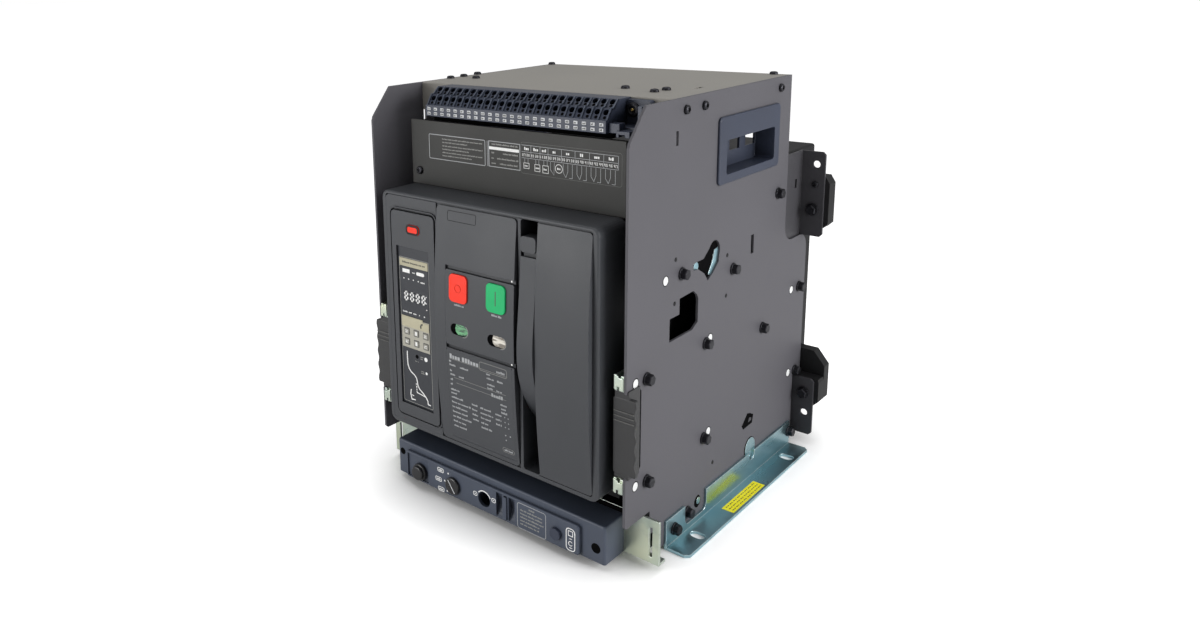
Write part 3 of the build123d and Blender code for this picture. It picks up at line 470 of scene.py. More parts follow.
NODE_FINISH = {
    "side paint": ("side_plate_left", "side_plate_right", "support_lugs"),
    "bracket paint": ("rear_brackets",),
    "top paint": ("top_plate",),
    "blue zinc": ("foot_bracket_left", "foot_bracket_right"),
    "pale zinc": (
        "base_tray", "rail_guides_left", "rail_guides_right", "extension_rail_left", "extension_rail_right",
        "racking_carriage",
    ),
    "panel moulding": (
        "terminal_block", "terminal_bracket", "hand_grip_left", "hand_grip_right", "release_button",
    ),
    "bezel moulding": ("racking_panel", "racking_bezel", "padlock_tab"),
    "black moulding": ("rail_grip_left", "rail_grip_right"),
    # breaker_body is deep black partly so that the slots in the cover read dark: painted shade
    "deep black": ("racking_crank", "position_indicator", "rear_base", "breaker_body"),
    "tinned copper": ("upper_terminals", "lower_terminals"),
    "cover moulding": ("front_cover", "control_panel", "nameplate", "charging_handle"),
    "label paint": ("label_plate",),
    "display film": ("trip_unit",),
    "keypad grey": ("trip_keypad",),
    "red button": ("off_button", "reset_button"),
    "green button": ("on_button",),
    "status lens": ("status_indicators",),
}


# Places and surfaces


def spot(x, depth, z):
    """Point of the row frame from millimetres: right, behind the plates' front edge, and up."""
    return Vector((x * MM, PLATE_FRONT + depth * MM, z * MM))


def front_face(depth):
    """Flat face seen from the front: u is right, v is up."""

    def place(u, v, lift):
        return spot(u, depth - lift, v)

    return place


def bowed_face(u, v, lift):
    """The cover's bowed centre panel: u is right, v is up."""
    depth = BOW_CENTRE - math.sqrt((BOW_RADIUS + lift) ** 2 - (v - BOW_MIDDLE) ** 2)
    return spot(u, depth, v)


def sunk_bow(sink):
    """The bowed panel's surface, sunk by some millimetres, or raised where the figure is negative."""

    def place(u, v, lift):
        return bowed_face(u, v, lift - sink)

    return place


def side_face(x):
    """Face of a side plate: u is depth, v is up, and the face looks away from the middle."""
    away = 1 if x > 0 else -1

    def place(u, v, lift):
        return spot(x + away * lift, u, v)

    return place


def top_face(z):
    """Face seen from above: u is right, v is depth."""

    def place(u, v, lift):
        return spot(u, v, z + lift)

    return place


# A slot name for each finish, which new_piece looks up and keeps nowhere; finishes that aren't listed get the
# black plastic's slot
SLOTS = {
    "bracket paint": "side_plate", "cover moulding": "cover_plastic", "brass": "terminal_metal",
    "panel moulding": "blue_plastic", "bezel moulding": "blue_plastic", "red button": "button_red",
    "blue zinc": "zinc", "pale zinc": "zinc", "bright zinc": "zinc", "rivet white": "zinc",
    "white ink": "keypad", "dull ink": "keypad", "key ink": "keypad", "key rim": "keypad",
    "key grey": "keypad", "cream film": "keypad", "tag white": "keypad", "yellow sticker": "keypad",
    "sticker ink": "keypad",
}


def new_piece(name, bm, material, body="cradle", slot=None):
    """A finished object from a mesh under construction, riding on its body."""
    bmesh.ops.recalc_face_normals(bm, faces=bm.faces[:])
    mesh = bpy.data.meshes.new(name)
    bm.to_mesh(mesh)
    bm.free()
    if not mesh.polygons:
        raise RuntimeError(f"{name} has no faces")
    piece = bpy.data.objects.new(name, mesh)
    bpy.context.collection.objects.link(piece)
    mesh.materials.append(FINISHES[material])
    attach(piece, body)
    slot = slot or SLOTS.get(material, "black_plastic")
    return piece


def rounded_outline(u0, v0, u1, v1, radius, steps=5):
    """Corner points of a rectangle with rounded corners, anticlockwise."""
    points = []
    low_u, low_v, high_u, high_v = u0 + radius, v0 + radius, u1 - radius, v1 - radius
    for k, (cu, cv) in enumerate(((high_u, low_v), (high_u, high_v), (low_u, high_v), (low_u, low_v))):
        for step in range(steps + 1):
            angle = math.radians(90 * (k - 1 + step / steps))
            points.append((cu + radius * math.cos(angle), cv + radius * math.sin(angle)))
    return points


SEGMENTS = {
    "0": "abcdef", "1": "bc", "2": "abged", "3": "abgcd", "4": "fgbc",
    "5": "afgcd", "6": "afgedc", "7": "abc", "8": "abcdefg", "9": "abfgcd",
}


class Print:
    """Flat marks gathered in millimetres on a face, then laid on it as one thin closed mesh.

    Each mark's method hands the print back, so that marks can follow each other in one line.
    """

    def __init__(self, seed=1):
        self.shapes = []
        self.chance = random.Random(seed)

    def shape(self, points):
        self.shapes.append(points)
        return self

    def bar(self, u0, v0, u1, v1):
        return self.shape([(u0, v0), (u1, v0), (u1, v1), (u0, v1)])

    def pad(self, u0, v0, u1, v1, radius):
        return self.shape(rounded_outline(u0, v0, u1, v1, radius))

    def disc(self, u, v, radius, sides=20):
        angles = [k * 2 * math.pi / sides for k in range(sides)]
        return self.shape([(u + radius * math.cos(a), v + radius * math.sin(a)) for a in angles])

    def line(self, points, width, closed=False):
        """Ribbon along the points, with its corners mitred."""
        count = len(points)
        rails = []
        for k, (u, v) in enumerate(points):
            before = points[k - 1] if k or closed else None
            after = points[(k + 1) % count] if k < count - 1 or closed else None
            sides = []
            for start, end in ((before, (u, v)), ((u, v), after)):
                if start is None or end is None:
                    continue
                length = math.dist(start, end)
                if length > 1e-6:
                    sides.append(((start[1] - end[1]) / length, (end[0] - start[0]) / length))
            nu = sum(side[0] for side in sides) / len(sides)
            nv = sum(side[1] for side in sides) / len(sides)
            stretch = width / 2 / max(nu * nu + nv * nv, 0.25)
            rails.append(((u + nu * stretch, v + nv * stretch), (u - nu * stretch, v - nv * stretch)))
        for k in range(count if closed else count - 1):
            first, second = rails[k], rails[(k + 1) % count]
            self.shape([first[0], first[1], second[1], second[0]])
        return self

    def frame(self, u0, v0, u1, v1, width, radius=0.0):
        points = [(u0, v0), (u1, v0), (u1, v1), (u0, v1)]
        if radius:
            points = rounded_outline(u0, v0, u1, v1, radius)
        return self.line(points, width, closed=True)

    def arc(self, u, v, radius, width, start, end, steps=16):
        angles = [math.radians(start + (end - start) * k / steps) for k in range(steps + 1)]
        return self.line([(u + radius * math.cos(a), v + radius * math.sin(a)) for a in angles], width)

    def words(self, u0, u1, v, height):
        """A line of small plain blocks that reads as print from afar and holds no letters."""
        u = u0
        base = v - height / 2
        while u < u1 - 0.2 * height:
            run = self.chance.randint(3, 8)
            for _ in range(run):
                wide = height * self.chance.uniform(0.38, 0.62)
                tall = height * self.chance.choice((0.72, 0.72, 1.0))
                if u + wide > u1:
                    break
                self.bar(u, base, u + wide, base + tall)
                u += wide + 0.2 * height
            u += 0.45 * height
        return self

    def digits(self, text, u, v, height, weight=0.14):
        """Plain seven segment numbers, centred on a point."""
        wide = 0.55 * height
        pitch = 0.8 * height
        thick = weight * height
        left = u - (pitch * (len(text) - 1) + wide) / 2
        for k, sign in enumerate(text):
            x0 = left + k * pitch
            x1 = x0 + wide
            y0 = v - height / 2
            y1 = v + height / 2
            bars = {
                "a": (x0, y1 - thick, x1, y1),
                "g": (x0, v - thick / 2, x1, v + thick / 2),
                "d": (x0, y0, x1, y0 + thick),
                "f": (x0, v, x0 + thick, y1),
                "b": (x1 - thick, v, x1, y1),
                "e": (x0, y0, x0 + thick, v),
                "c": (x1 - thick, y0, x1, v),
            }
            for segment in SEGMENTS[sign]:
                self.bar(*bars[segment])
        return self

    def lay(self, name, surface, material, body="breaker", slot=None, step=0.0, lift=None):
        """Extrudes the gathered shapes and bends them onto the surface."""
        top = (sizes().ink_lift if lift is None else lift * MM) / MM
        bottom = -sizes().ink_sink / MM
        bm = bmesh.new()
        for points in self.shapes:
            bm.faces.new([bm.verts.new((u, v, 0.0)) for u, v in points])
        bmesh.ops.remove_doubles(bm, verts=bm.verts[:], dist=1e-4)
        if step:
            low = min(vert.co.y for vert in bm.verts)
            high = max(vert.co.y for vert in bm.verts)
            for k in range(math.ceil(low / step), math.ceil(high / step)):
                geometry = bm.verts[:] + bm.edges[:] + bm.faces[:]
                bmesh.ops.bisect_plane(bm, geom=geometry, plane_co=(0, k * step, 0), plane_no=(0, 1, 0))
        faces = bm.faces[:]
        made = bmesh.ops.extrude_face_region(bm, geom=faces, use_keep_orig=True)
        upper = {item for item in made["geom"] if isinstance(item, bmesh.types.BMVert)}
        for vert in bm.verts:
            vert.co = surface(vert.co.x, vert.co.y, top if vert in upper else bottom)
        return new_piece(name, bm, material, body, slot)


def turned(bm, place, profile, sides, turn=0.0):
    """Adds a turned solid. The profile gives radius and height in millimetres from foot to crown."""
    rings = []
    for radius, height in profile:
        if radius == 0:
            rings.append([bm.verts.new(place @ Vector((0, 0, height * MM)))])
            continue
        ring = []
        for k in range(sides):
            angle = turn + 2 * math.pi * k / sides
            point = (radius * MM * math.cos(angle), radius * MM * math.sin(angle), height * MM)
            ring.append(bm.verts.new(place @ Vector(point)))
        rings.append(ring)
    for lower, upper in zip(rings, rings[1:]):
        for k in range(sides):
            foot = [lower[j % len(lower)] for j in (k, k + 1)]
            crown = [upper[j % len(upper)] for j in (k + 1, k)]
            corners = list(dict.fromkeys(foot + crown))
            if len(corners) > 2:
                bm.faces.new(corners)


def facing(point, direction, turn=0.0):
    """Matrix that puts local Z along a direction at a point."""
    spin = Vector(direction).to_track_quat("Z", "Y").to_matrix().to_4x4()
    return Matrix.Translation(point) @ spin @ Matrix.Rotation(turn, 4, "Z")


def banded(bm, loops, closed=False, capped=False):
    """Faces between loops with as many points each, closed into a ring or capped at both ends."""
    made = [[bm.verts.new(point) for point in loop] for loop in loops]
    pairs = list(zip(made, made[1:]))
    if closed:
        pairs.append((made[-1], made[0]))
    count = len(made[0])
    for first, second in pairs:
        for k in range(count):
            after = (k + 1) % count
            bm.faces.new([first[k], first[after], second[after], second[k]])
    if capped:
        bm.faces.new(made[0])
        bm.faces.new(list(reversed(made[-1])))


def slab(bm, points, surface, low, high, rounding):
    """A block over an outline on a face, from low to high above it, with a rounded upper edge."""
    middle_u = (min(u for u, v in points) + max(u for u, v in points)) / 2
    middle_v = (min(v for u, v in points) + max(v for u, v in points)) / 2
    half_u = max(u for u, v in points) - middle_u
    half_v = max(v for u, v in points) - middle_v
    turn = 0.3 * rounding
    loops = []
    for inset, lift in ((0, low), (0, high - rounding), (turn, high - turn), (rounding, high)):
        scale_u = 1 - inset / half_u
        scale_v = 1 - inset / half_v
        loops.append([
            surface(middle_u + (u - middle_u) * scale_u, middle_v + (v - middle_v) * scale_v, lift)
            for u, v in points
        ])
    banded(bm, loops, capped=True)


def hex_bolt(bm, point, direction, width, height, turn=0.0):
    """Washer and hexagon head with a chamfered crown."""
    place = facing(point, direction, turn)
    r = width / 2
    washer = 0.22 * height
    ring = ((0, -0.2), (r * 1.08, -0.2), (r * 1.08, washer - 0.2), (r, washer), (0, washer))
    turned(bm, place, ring, sizes().round_sides)
    crown = ((0, washer), (r * 0.94, washer), (r * 0.94, height * 0.88), (r * 0.82, height), (0, height))
    turned(bm, place, crown, 6)


def pan_screw(bm, point, direction, width, height, turn=0.0):
    """Round screw head with a domed edge and a sunk round drive."""
    place = facing(point, direction, turn)
    r = width / 2
    dome = (
        (0, -0.2), (r, -0.2), (r, height * 0.45), (r * 0.9, height * 0.78), (r * 0.66, height * 0.97),
        (r * 0.44, height), (r * 0.4, height * 0.5), (0, height * 0.5),
    )
    turned(bm, place, dome, sizes().round_sides)


def rivet(bm, point, direction, width, height):
    """Low domed rivet head."""
    place = facing(point, direction)
    r = width / 2
    dome = ((0, -0.2), (r, -0.2), (r, height * 0.3), (r * 0.8, height * 0.8), (r * 0.4, height), (0, height))
    turned(bm, place, dome, sizes().round_sides)


# Operators, one for each group of like pieces


class BREAKER_OT_finishes(bpy.types.Operator):
    """Give every moulded, painted and plated part its finish"""

    bl_idname = "breaker.finishes"
    bl_label = "Finishes"

    def execute(self, context):
        FINISHES.update(make_finishes())
        for finish, nodes in NODE_FINISH.items():
            for node in nodes:
                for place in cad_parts[node].material_slots:
                    place.link = "OBJECT"
                    place.material = FINISHES[finish]
        bare = set(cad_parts) - {node for nodes in NODE_FINISH.values() for node in nodes}
        if bare:
            raise RuntimeError(f"no finish for {sorted(bare)}")
        return {"FINISHED"}


SIDES = ((1, "right"), (-1, "left"))

# Depth and height of the fasteners on a side plate and its foot, in millimetres
BOLTS = (
    (32.5, 187), (34.8, 86.8), (140.3, 187.2), (140.9, 87.3), (354.4, 88.5), (355.3, 189.3),
    (91, 270), (192.4, 249.8), (265, 166.5), (289.7, 309.1),
)
BRIGHT_RIVETS = (
    (14.7, 188.3), (16.2, 88.8), (149.1, 189.9), (150.8, 90.6), (338, 90.3), (336, 190), (62.5, 270),
)
DARK_RIVETS = ((79.7, 286), (179.6, 266.8), (179.8, 225), (79.1, 244.3), (162.4, 52.3))
EDGE_SCREWS = ((92, 421), (125, 421), (285, 421))
LEG_BOLTS = ((83.3, 16.4), (112.3, 19.6), (340.2, 18.6))
NOTCH_START, NOTCH_END = 104, 147
LEG_THICKNESS = 2.5
EDGE_SCREW_HEIGHT = 3.4
RIVET_WIDTH, RIVET_HEIGHT, RIVET_RING = 8.4, 0.5, 5.0
STUD_WIDTH, STUD_HEIGHT = 4.2, 0.6


class BREAKER_OT_side_fasteners(bpy.types.Operator):
    """Hex bolts, screws and rivets of both side plates and feet"""

    bl_idname = "breaker.side_fasteners"
    bl_label = "Side Fasteners"

    def execute(self, context):
        for side, name in SIDES:
            face = side_face(side * PLATE_OUT)
            away = (side, 0, 0)
            self.bolts(side, name, away)
            bright = bmesh.new()
            rings = Print(side + 5)
            for depth, z in BRIGHT_RIVETS:
                rivet(bright, spot(side * PLATE_OUT, depth, z), away, RIVET_WIDTH, RIVET_HEIGHT)
                rings.disc(depth, z, RIVET_RING, 24)
            new_piece(f"side_rivets_{name}", bright, "rivet white")
            # Near black rings round the bright rivets: painted shade
            rings.lay(f"side_rivet_rings_{name}", face, "void black", "cradle", lift=0.12)
            self.openings(face, name)
            dark = bmesh.new()
            for depth, z in DARK_RIVETS:
                rivet(dark, spot(side * PLATE_OUT, depth, z), away, STUD_WIDTH, STUD_HEIGHT)
            new_piece(f"side_studs_{name}", dark, "deep black")
        return {"FINISHED"}

    def bolts(self, side, name, away):
        """Bolts of one plate and foot, each head turned by chance."""
        size = sizes()
        width = size.bolt_width / MM
        height = size.bolt_height / MM
        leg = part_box("foot_bracket_right")[0].x / MM + LEG_THICKNESS
        chance = random.Random(side)
        heads = bmesh.new()
        for depth, z in BOLTS:
            hex_bolt(heads, spot(side * PLATE_OUT, depth, z), away, width, height, chance.uniform(0, 1))
        for depth, z in EDGE_SCREWS:
            point = spot(side * PLATE_OUT, depth, z)
            pan_screw(heads, point, away, size.screw_width / MM, EDGE_SCREW_HEIGHT, chance.uniform(0, 1))
        for depth, z in LEG_BOLTS:
            base = PLATE_OUT if NOTCH_START < depth < NOTCH_END else leg
            hex_bolt(heads, spot(side * base, depth, z), away, width, height, chance.uniform(0, 1))
        new_piece(f"side_bolts_{name}", heads, "black oxide")

    def openings(self, face, name):
        """Painted shade in the round and slanted openings near the lower edge, and what shows behind them."""
        # Near black shapes over the openings: painted shade
        dark = Print(6).disc(246.2, 34.4, 12.6, 32).disc(132.6, 21.8, 6.2, 24)
        dark.shape([(225.7, 66.8), (229.4, 62), (249.7, 62.6), (252.4, 71.7), (238.2, 77.7)])
        dark.lay(f"side_opening_shade_{name}", face, "void black", "cradle", lift=0.1)
        # The slot's inside in the darker copy of the side paint: painted shade
        inside = Print(8).shape([(240.2, 66.2), (247.2, 66.6), (247.8, 69.2), (242.6, 71.2)])
        inside.lay(f"slot_inside_{name}", face, "bracket paint", "cradle", lift=0.2)
        leg = Print(7).disc(247.4, 34, 11.6, 32).disc(134.6, 22, 3.6, 20)
        leg.lay(f"leg_through_openings_{name}", face, "blue zinc", "cradle", lift=0.2)


TOP_SCREWS = (
    (-150.5, 117.6), (-150.5, 139.5), (-124.5, 131), (-153, 166), (73, 124), (112, 112), (114, 130),
    (-151, 306), (138, 307.6),
)
TOP_SCREW_HEIGHT = 3.0


class BREAKER_OT_top_screws(bpy.types.Operator):
    """Screws of the top plate"""

    bl_idname = "breaker.top_screws"
    bl_label = "Top Screws"

    def execute(self, context):
        screws = bmesh.new()
        for x, depth in TOP_SCREWS:
            pan_screw(screws, spot(x, depth, TOP), (0, 0, 1), sizes().screw_width / MM, TOP_SCREW_HEIGHT, x)
        new_piece("top_screws", screws, "black oxide")
        return {"FINISHED"}


# Steps of the terminal block's section, in millimetres from its front and its foot
COLUMNS = 24
BANK_SET_BACK = 3.0
BANK_FOOT = 11.5
STEP_DEPTH = 9.5
STEP_HEIGHT = 21.0
STEP_BACK = 13.0
BANK_BACK = 20.0
RIB_WIDTH = 1.1
RIB_PROUD = 1.2
RIB_SUNK = 1.0
WELL_PLACE = 0.66
ENTRY_PLACE = 0.2
ENTRY_ASIDE = 0.4
ENTRY_RADIUS = 1.6
TAG_ROWS = (410.6, 405.9)


def wall_with_well(bm, corners, centre, normal, across, radius, deep, sides=16):
    """A four cornered wall with a round blind hole, as faces that share only the wall's corners."""
    up = normal.cross(across).normalized()
    start = -3 * math.pi / 4
    mouth = []
    floor = []
    for k in range(sides):
        angle = start + 2 * math.pi * k / sides
        point = centre + radius * (math.cos(angle) * across + math.sin(angle) * up)
        mouth.append(bm.verts.new(point))
        floor.append(bm.verts.new(point - deep * normal))
    quarter = sides // 4
    for k in range(sides):
        after = (k + 1) % sides
        bm.faces.new([mouth[k], mouth[after], floor[after], floor[k]])
        corner = corners[((k + quarter // 2) // quarter) % 4]
        bm.faces.new([corner, mouth[after], mouth[k]])
        following = corners[((k + 1 + quarter // 2) // quarter) % 4]
        if following is not corner:
            bm.faces.new([corner, following, mouth[after]])
    bm.faces.new(floor)


class BREAKER_OT_terminal_block(bpy.types.Operator):
    """Control terminal block: marker strip, two banks of screw wells, and ribs between the columns"""

    bl_idname = "breaker.terminal_block"
    bl_label = "Terminal Block"

    def execute(self, context):
        low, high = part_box("terminal_block")
        front = BLOCK_DEPTH
        foot = low.z / MM
        top = high.z / MM
        back = (high.y - PLATE_FRONT) / MM
        profile = (
            (front, foot), (front, foot + BANK_FOOT), (front + BANK_SET_BACK, foot + BANK_FOOT),
            (front + STEP_DEPTH, foot + STEP_HEIGHT), (front + STEP_BACK, foot + STEP_HEIGHT),
            (front + BANK_BACK, top), (back, top), (back, foot),
        )
        half = high.x / MM
        self.bank(profile, half)
        self.ribs(profile, half)
        pitch = 2 * half / COLUMNS
        middles = [-half + (k + 0.5) * pitch for k in range(COLUMNS)]
        self.tags(middles)
        self.entries(profile, middles)
        return {"FINISHED"}

    def bank(self, profile, half):
        """The block's section along X, with a screw well in both sloping walls of each column."""
        size = sizes()
        pitch = 2 * half / COLUMNS
        bm = bmesh.new()
        rows = [[bm.verts.new(spot(-half + k * pitch, d, z)) for d, z in profile] for k in range(COLUMNS + 1)]
        across = Vector((1, 0, 0))
        count = len(profile)
        for k in range(COLUMNS):
            for j in range(count):
                after = (j + 1) % count
                corners = [rows[k][j], rows[k + 1][j], rows[k + 1][after], rows[k][after]]
                if j not in (2, 4):
                    bm.faces.new(corners)
                    continue
                rise = corners[3].co - corners[0].co
                normal = across.cross(rise.normalized()).normalized()
                centre = (corners[0].co + corners[1].co) / 2 + rise * WELL_PLACE
                wall_with_well(bm, corners, centre, normal, across, size.well_width / 2, size.well_depth)
        bm.faces.new(rows[0])
        bm.faces.new(list(reversed(rows[-1])))
        block = new_piece("terminal_block_body", bm, "panel moulding")
        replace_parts(block, "terminal_block")

    def ribs(self, profile, half):
        """Thin proud dividers between the columns and at both ends, in the lighter bezel moulding as a
        painted highlight.
        """
        front, foot = profile[2]
        step, step_z = profile[3]
        shelf = profile[4][0]
        back, top = profile[5]
        outline = (
            (front - RIB_PROUD, foot), (step - RIB_PROUD, step_z + RIB_PROUD),
            (shelf - RIB_PROUD, step_z + RIB_PROUD), (back - RIB_PROUD, top), (back + RIB_SUNK, top),
            (shelf + RIB_SUNK, step_z - RIB_SUNK), (step + RIB_SUNK, step_z - RIB_SUNK),
            (front + RIB_SUNK, foot),
        )
        ribs = bmesh.new()
        for k in range(COLUMNS + 1):
            middle = (half - RIB_WIDTH / 2) * (2 * k / COLUMNS - 1)
            ends = []
            for x in (middle - RIB_WIDTH / 2, middle + RIB_WIDTH / 2):
                ends.append([ribs.verts.new(spot(x, d, z)) for d, z in outline])
            ribs.faces.new(ends[0])
            ribs.faces.new(list(reversed(ends[1])))
            for j in range(len(outline)):
                after = (j + 1) % len(outline)
                ribs.faces.new([ends[0][j], ends[0][after], ends[1][after], ends[1][j]])
        # The ribs take the lighter bezel moulding: painted highlight
        new_piece("terminal_ribs", ribs, "bezel moulding")

    def tags(self, middles):
        """Two rows of marker tags, each with a plain sign."""
        tags = Print(3)
        signs = Print(4)
        for u in middles:
            for v in TAG_ROWS:
                tags.pad(u - 2.2, v - 1.45, u + 2.2, v + 1.45, 0.4)
                signs.words(u - 1.6, u + 1.7, v, 1.7)
        tags.lay("marker_tags", front_face(BLOCK_DEPTH), "tag white", "cradle", lift=0.25)
        signs.lay("marker_signs", front_face(BLOCK_DEPTH - 0.25), "dark ink", "cradle")

    def entries(self, profile, middles):
        """Wire entries under the wells and the wells' floors with their dark screws, laid as near black
        discs: painted shade.
        """
        size = sizes()
        radius = size.well_width / MM / 2 - 0.15
        entries = bmesh.new()
        for u in middles:
            for first, second in ((2, 3), (4, 5)):
                start = Vector(profile[first])
                rise = Vector(profile[second]) - start
                along = rise.normalized()
                normal = Vector((0, -along.y, along.x))
                entry = spot(u + ENTRY_ASIDE, *(start + rise * ENTRY_PLACE))
                floor = spot(u, *(start + rise * WELL_PLACE)) - normal * (size.well_depth - 0.0003)
                # Near black discs for the entries and the wells' floors: painted shade
                self.shade_disc(entries, entry, normal, ENTRY_RADIUS)
                self.shade_disc(entries, floor, normal, radius)
        new_piece("wire_entry_shade", entries, "void black")

    def shade_disc(self, bm, point, normal, radius):
        turned(bm, facing(point, normal), ((0, -0.1), (radius, -0.1), (radius, 0.06), (0, 0.06)), 16)


BRACKET_SCREW = (117.2, 421)
BRACKET_SMALL_SCREW = (114.5, 405.6)


class BREAKER_OT_bracket_screws(bpy.types.Operator):
    """Screws that hold the terminal block's end bracket"""

    bl_idname = "breaker.bracket_screws"
    bl_label = "Bracket Screws"

    def execute(self, context):
        low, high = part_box("terminal_bracket")
        plate = (high.y - PLATE_FRONT) / MM - 7
        x, z = BRACKET_SCREW
        washer = bmesh.new()
        profile = ((0, -0.2), (6.6, -0.2), (6.6, 1.2), (5.4, 2.2), (3.6, 2.4), (2.9, 1.2), (0, 1.2))
        turned(washer, facing(spot(x, plate, z), FORWARD), profile, 28)
        new_piece("bracket_washer", washer, "black oxide")
        head = bmesh.new()
        pan_screw(head, spot(x, plate - 1.0, z), FORWARD, 3.2, 1.6)
        new_piece("bracket_screw", head, "brass")
        x, z = BRACKET_SMALL_SCREW
        small = bmesh.new()
        pan_screw(small, spot(x, (low.y - PLATE_FRONT) / MM + 4, z), FORWARD, 3.4, 1.6)
        new_piece("bracket_small_screw", small, "bright zinc")
        return {"FINISHED"}


# Places on the label plate: right and up, in millimetres
LABEL_SCREW = (-120.5, 344.5)
NOTE_LINES = ((-32.9, 380.6), (-52.5, 377.3), (-33.1, 373.6), (-50.8, 370.2), (-33.3, 366.8), (-47.3, 363.5))
KEY_LINES = (
    (-21, 12, 381.9), (-21.3, -17, 373.3), (-7, 12, 373.3), (-21.5, -18, 368), (-14.3, 12, 368),
    (-21.6, -15.3, 363), (-11, 11.8, 363),
)
DIAGRAM_LEFT = 16.3
DIAGRAM_COLUMNS = (27.3, 38.1, 47.4, 62.7, 77.8, 93.5, 108.6, 123.8)
DIAGRAM_ROWS = (384.5, 378.1, 372.2)
COILS = ((18.7, 362.3, 25, 367.4), (31.8, 360.8, 37.8, 367.2), (41.2, 360.2, 47.6, 367.2))
MOTOR = (59.7, 366)
CONTACTS = (64.6, 79.9, 95.2, 110.5)
FIRST_TERMINAL = 27
TERMINALS = 21


class BREAKER_OT_label_plate(bpy.types.Operator):
    """Printed frames, plain lines, numbers and the line diagram of the label plate"""

    bl_idname = "breaker.label_plate"
    bl_label = "Label Plate"

    def execute(self, context):
        face = front_face(LABEL_DEPTH)
        thin = Print(11).frame(-106, 359.1, -29.8, 384.4, 0.7, 1.2)
        ink = Print(12)
        soft = Print(14)
        for u1, v in NOTE_LINES:
            soft.words(-87.5, u1, v, 1.3)
        for u in (-26.8, -25.2):
            thin.bar(u - 0.25, 359.2, u + 0.25, 384.3)
        thin.frame(-24.7, 359.4, 14, 384.5, 0.7)
        ink.bar(-24.3, 376.3, 12.9, 379.2)
        for u0, u1, v in KEY_LINES:
            soft.words(u0, u1, v, 1.6)
        self.table(thin, ink)
        self.symbols(thin, ink)
        border = Print(13).frame(15.4, 357.2, 127.5, 387.2, 0.35, 2.4)
        border.lay("diagram_border", face, "key rim", slot="label_plate")
        thin.lay("label_frames", face, "dull ink", slot="label_plate")
        ink.lay("label_marks", face, "white ink", slot="label_plate")
        soft.lay("label_lines", face, "key ink", slot="label_plate")
        screw = bmesh.new()
        pan_screw(screw, spot(LABEL_SCREW[0], LABEL_DEPTH, LABEL_SCREW[1]), FORWARD, 8.6, 2.6)
        new_piece("label_screw", screw, "black oxide", "breaker")
        return {"FINISHED"}

    def table(self, thin, ink):
        """Head of the diagram: ruled boxes over the row of terminal numbers."""
        top, middle, foot = DIAGRAM_ROWS
        for v in DIAGRAM_ROWS:
            thin.bar(DIAGRAM_LEFT, v - 0.2, DIAGRAM_COLUMNS[-1], v + 0.2)
        edge = DIAGRAM_LEFT
        for border in DIAGRAM_COLUMNS:
            thin.bar(border - 0.2, foot, border + 0.2, top)
            ink.words((edge + border) / 2 - 2.4, (edge + border) / 2 + 3.0, (top + middle) / 2, 2.8)
            edge = border
        for k in range(TERMINALS):
            ink.digits(str(FIRST_TERMINAL + k), 18.8 + (121.0 - 18.8) * k / (TERMINALS - 1), 375.1, 2.7, 0.19)

    def symbols(self, thin, ink):
        """Coils, motor and changeover contacts under the terminal numbers."""
        for u0, v0, u1, v1 in COILS:
            ink.frame(u0, v0, u1, v1, 0.45)
            ink.words(u0 + 1, u1 - 0.8, (v0 + v1) / 2, 1.9)
            for u in (u0 + 1.2, u1 - 1.2):
                thin.bar(u - 0.2, v1, u + 0.2, 371.8)
        ink.arc(*MOTOR, 4.0, 0.5, 0, 360, 24)
        ink.words(57.8, 62, MOTOR[1], 2.0)
        thin.line([(50.2, 371.5), (50.2, 364), (54.1, 359.5), (54.6, 371.5)], 0.4)
        for u in CONTACTS:
            thin.line([(u, 371.4), (u, 363), (u + 3, 358.9), (u + 5.2, 364.4), (u + 5.2, 371.4)], 0.4)
            thin.line([(u + 10.2, 371.4), (u + 10.2, 358.6), (u + 6.6, 358.6)], 0.4)


# Places on the trip unit: right and up, in millimetres
FILM_LEFT, FILM_RIGHT = -110.6, -70.2
FILM_FOOT, STRIP_FOOT, STRIP_TOP = 199.4, 253.2, 261.6
KEY_ROWS = (182.6, 171.4)
KEY_COLUMNS = (-103.1, -89.5, -75.9)
CURVE = (
    (-104.5, 160.0), (-104.6, 152), (-104.2, 145.5), (-102.6, 140.8), (-99.8, 137.8), (-95.2, 135.6),
    (-92.2, 132.8), (-91, 128.6), (-90.4, 124.4), (-87.6, 121), (-82.6, 117.8), (-78.6, 114.2), (-76.4, 111),
    (-76.1, 107.6), (-72.4, 107.3),
)
DASHES = (
    ((-92.9, 126.6), (-92.6, 124.8)), ((-92.5, 123.8), (-92.3, 121.8)), ((-92.2, 120.9), (-92.1, 118.9)),
)


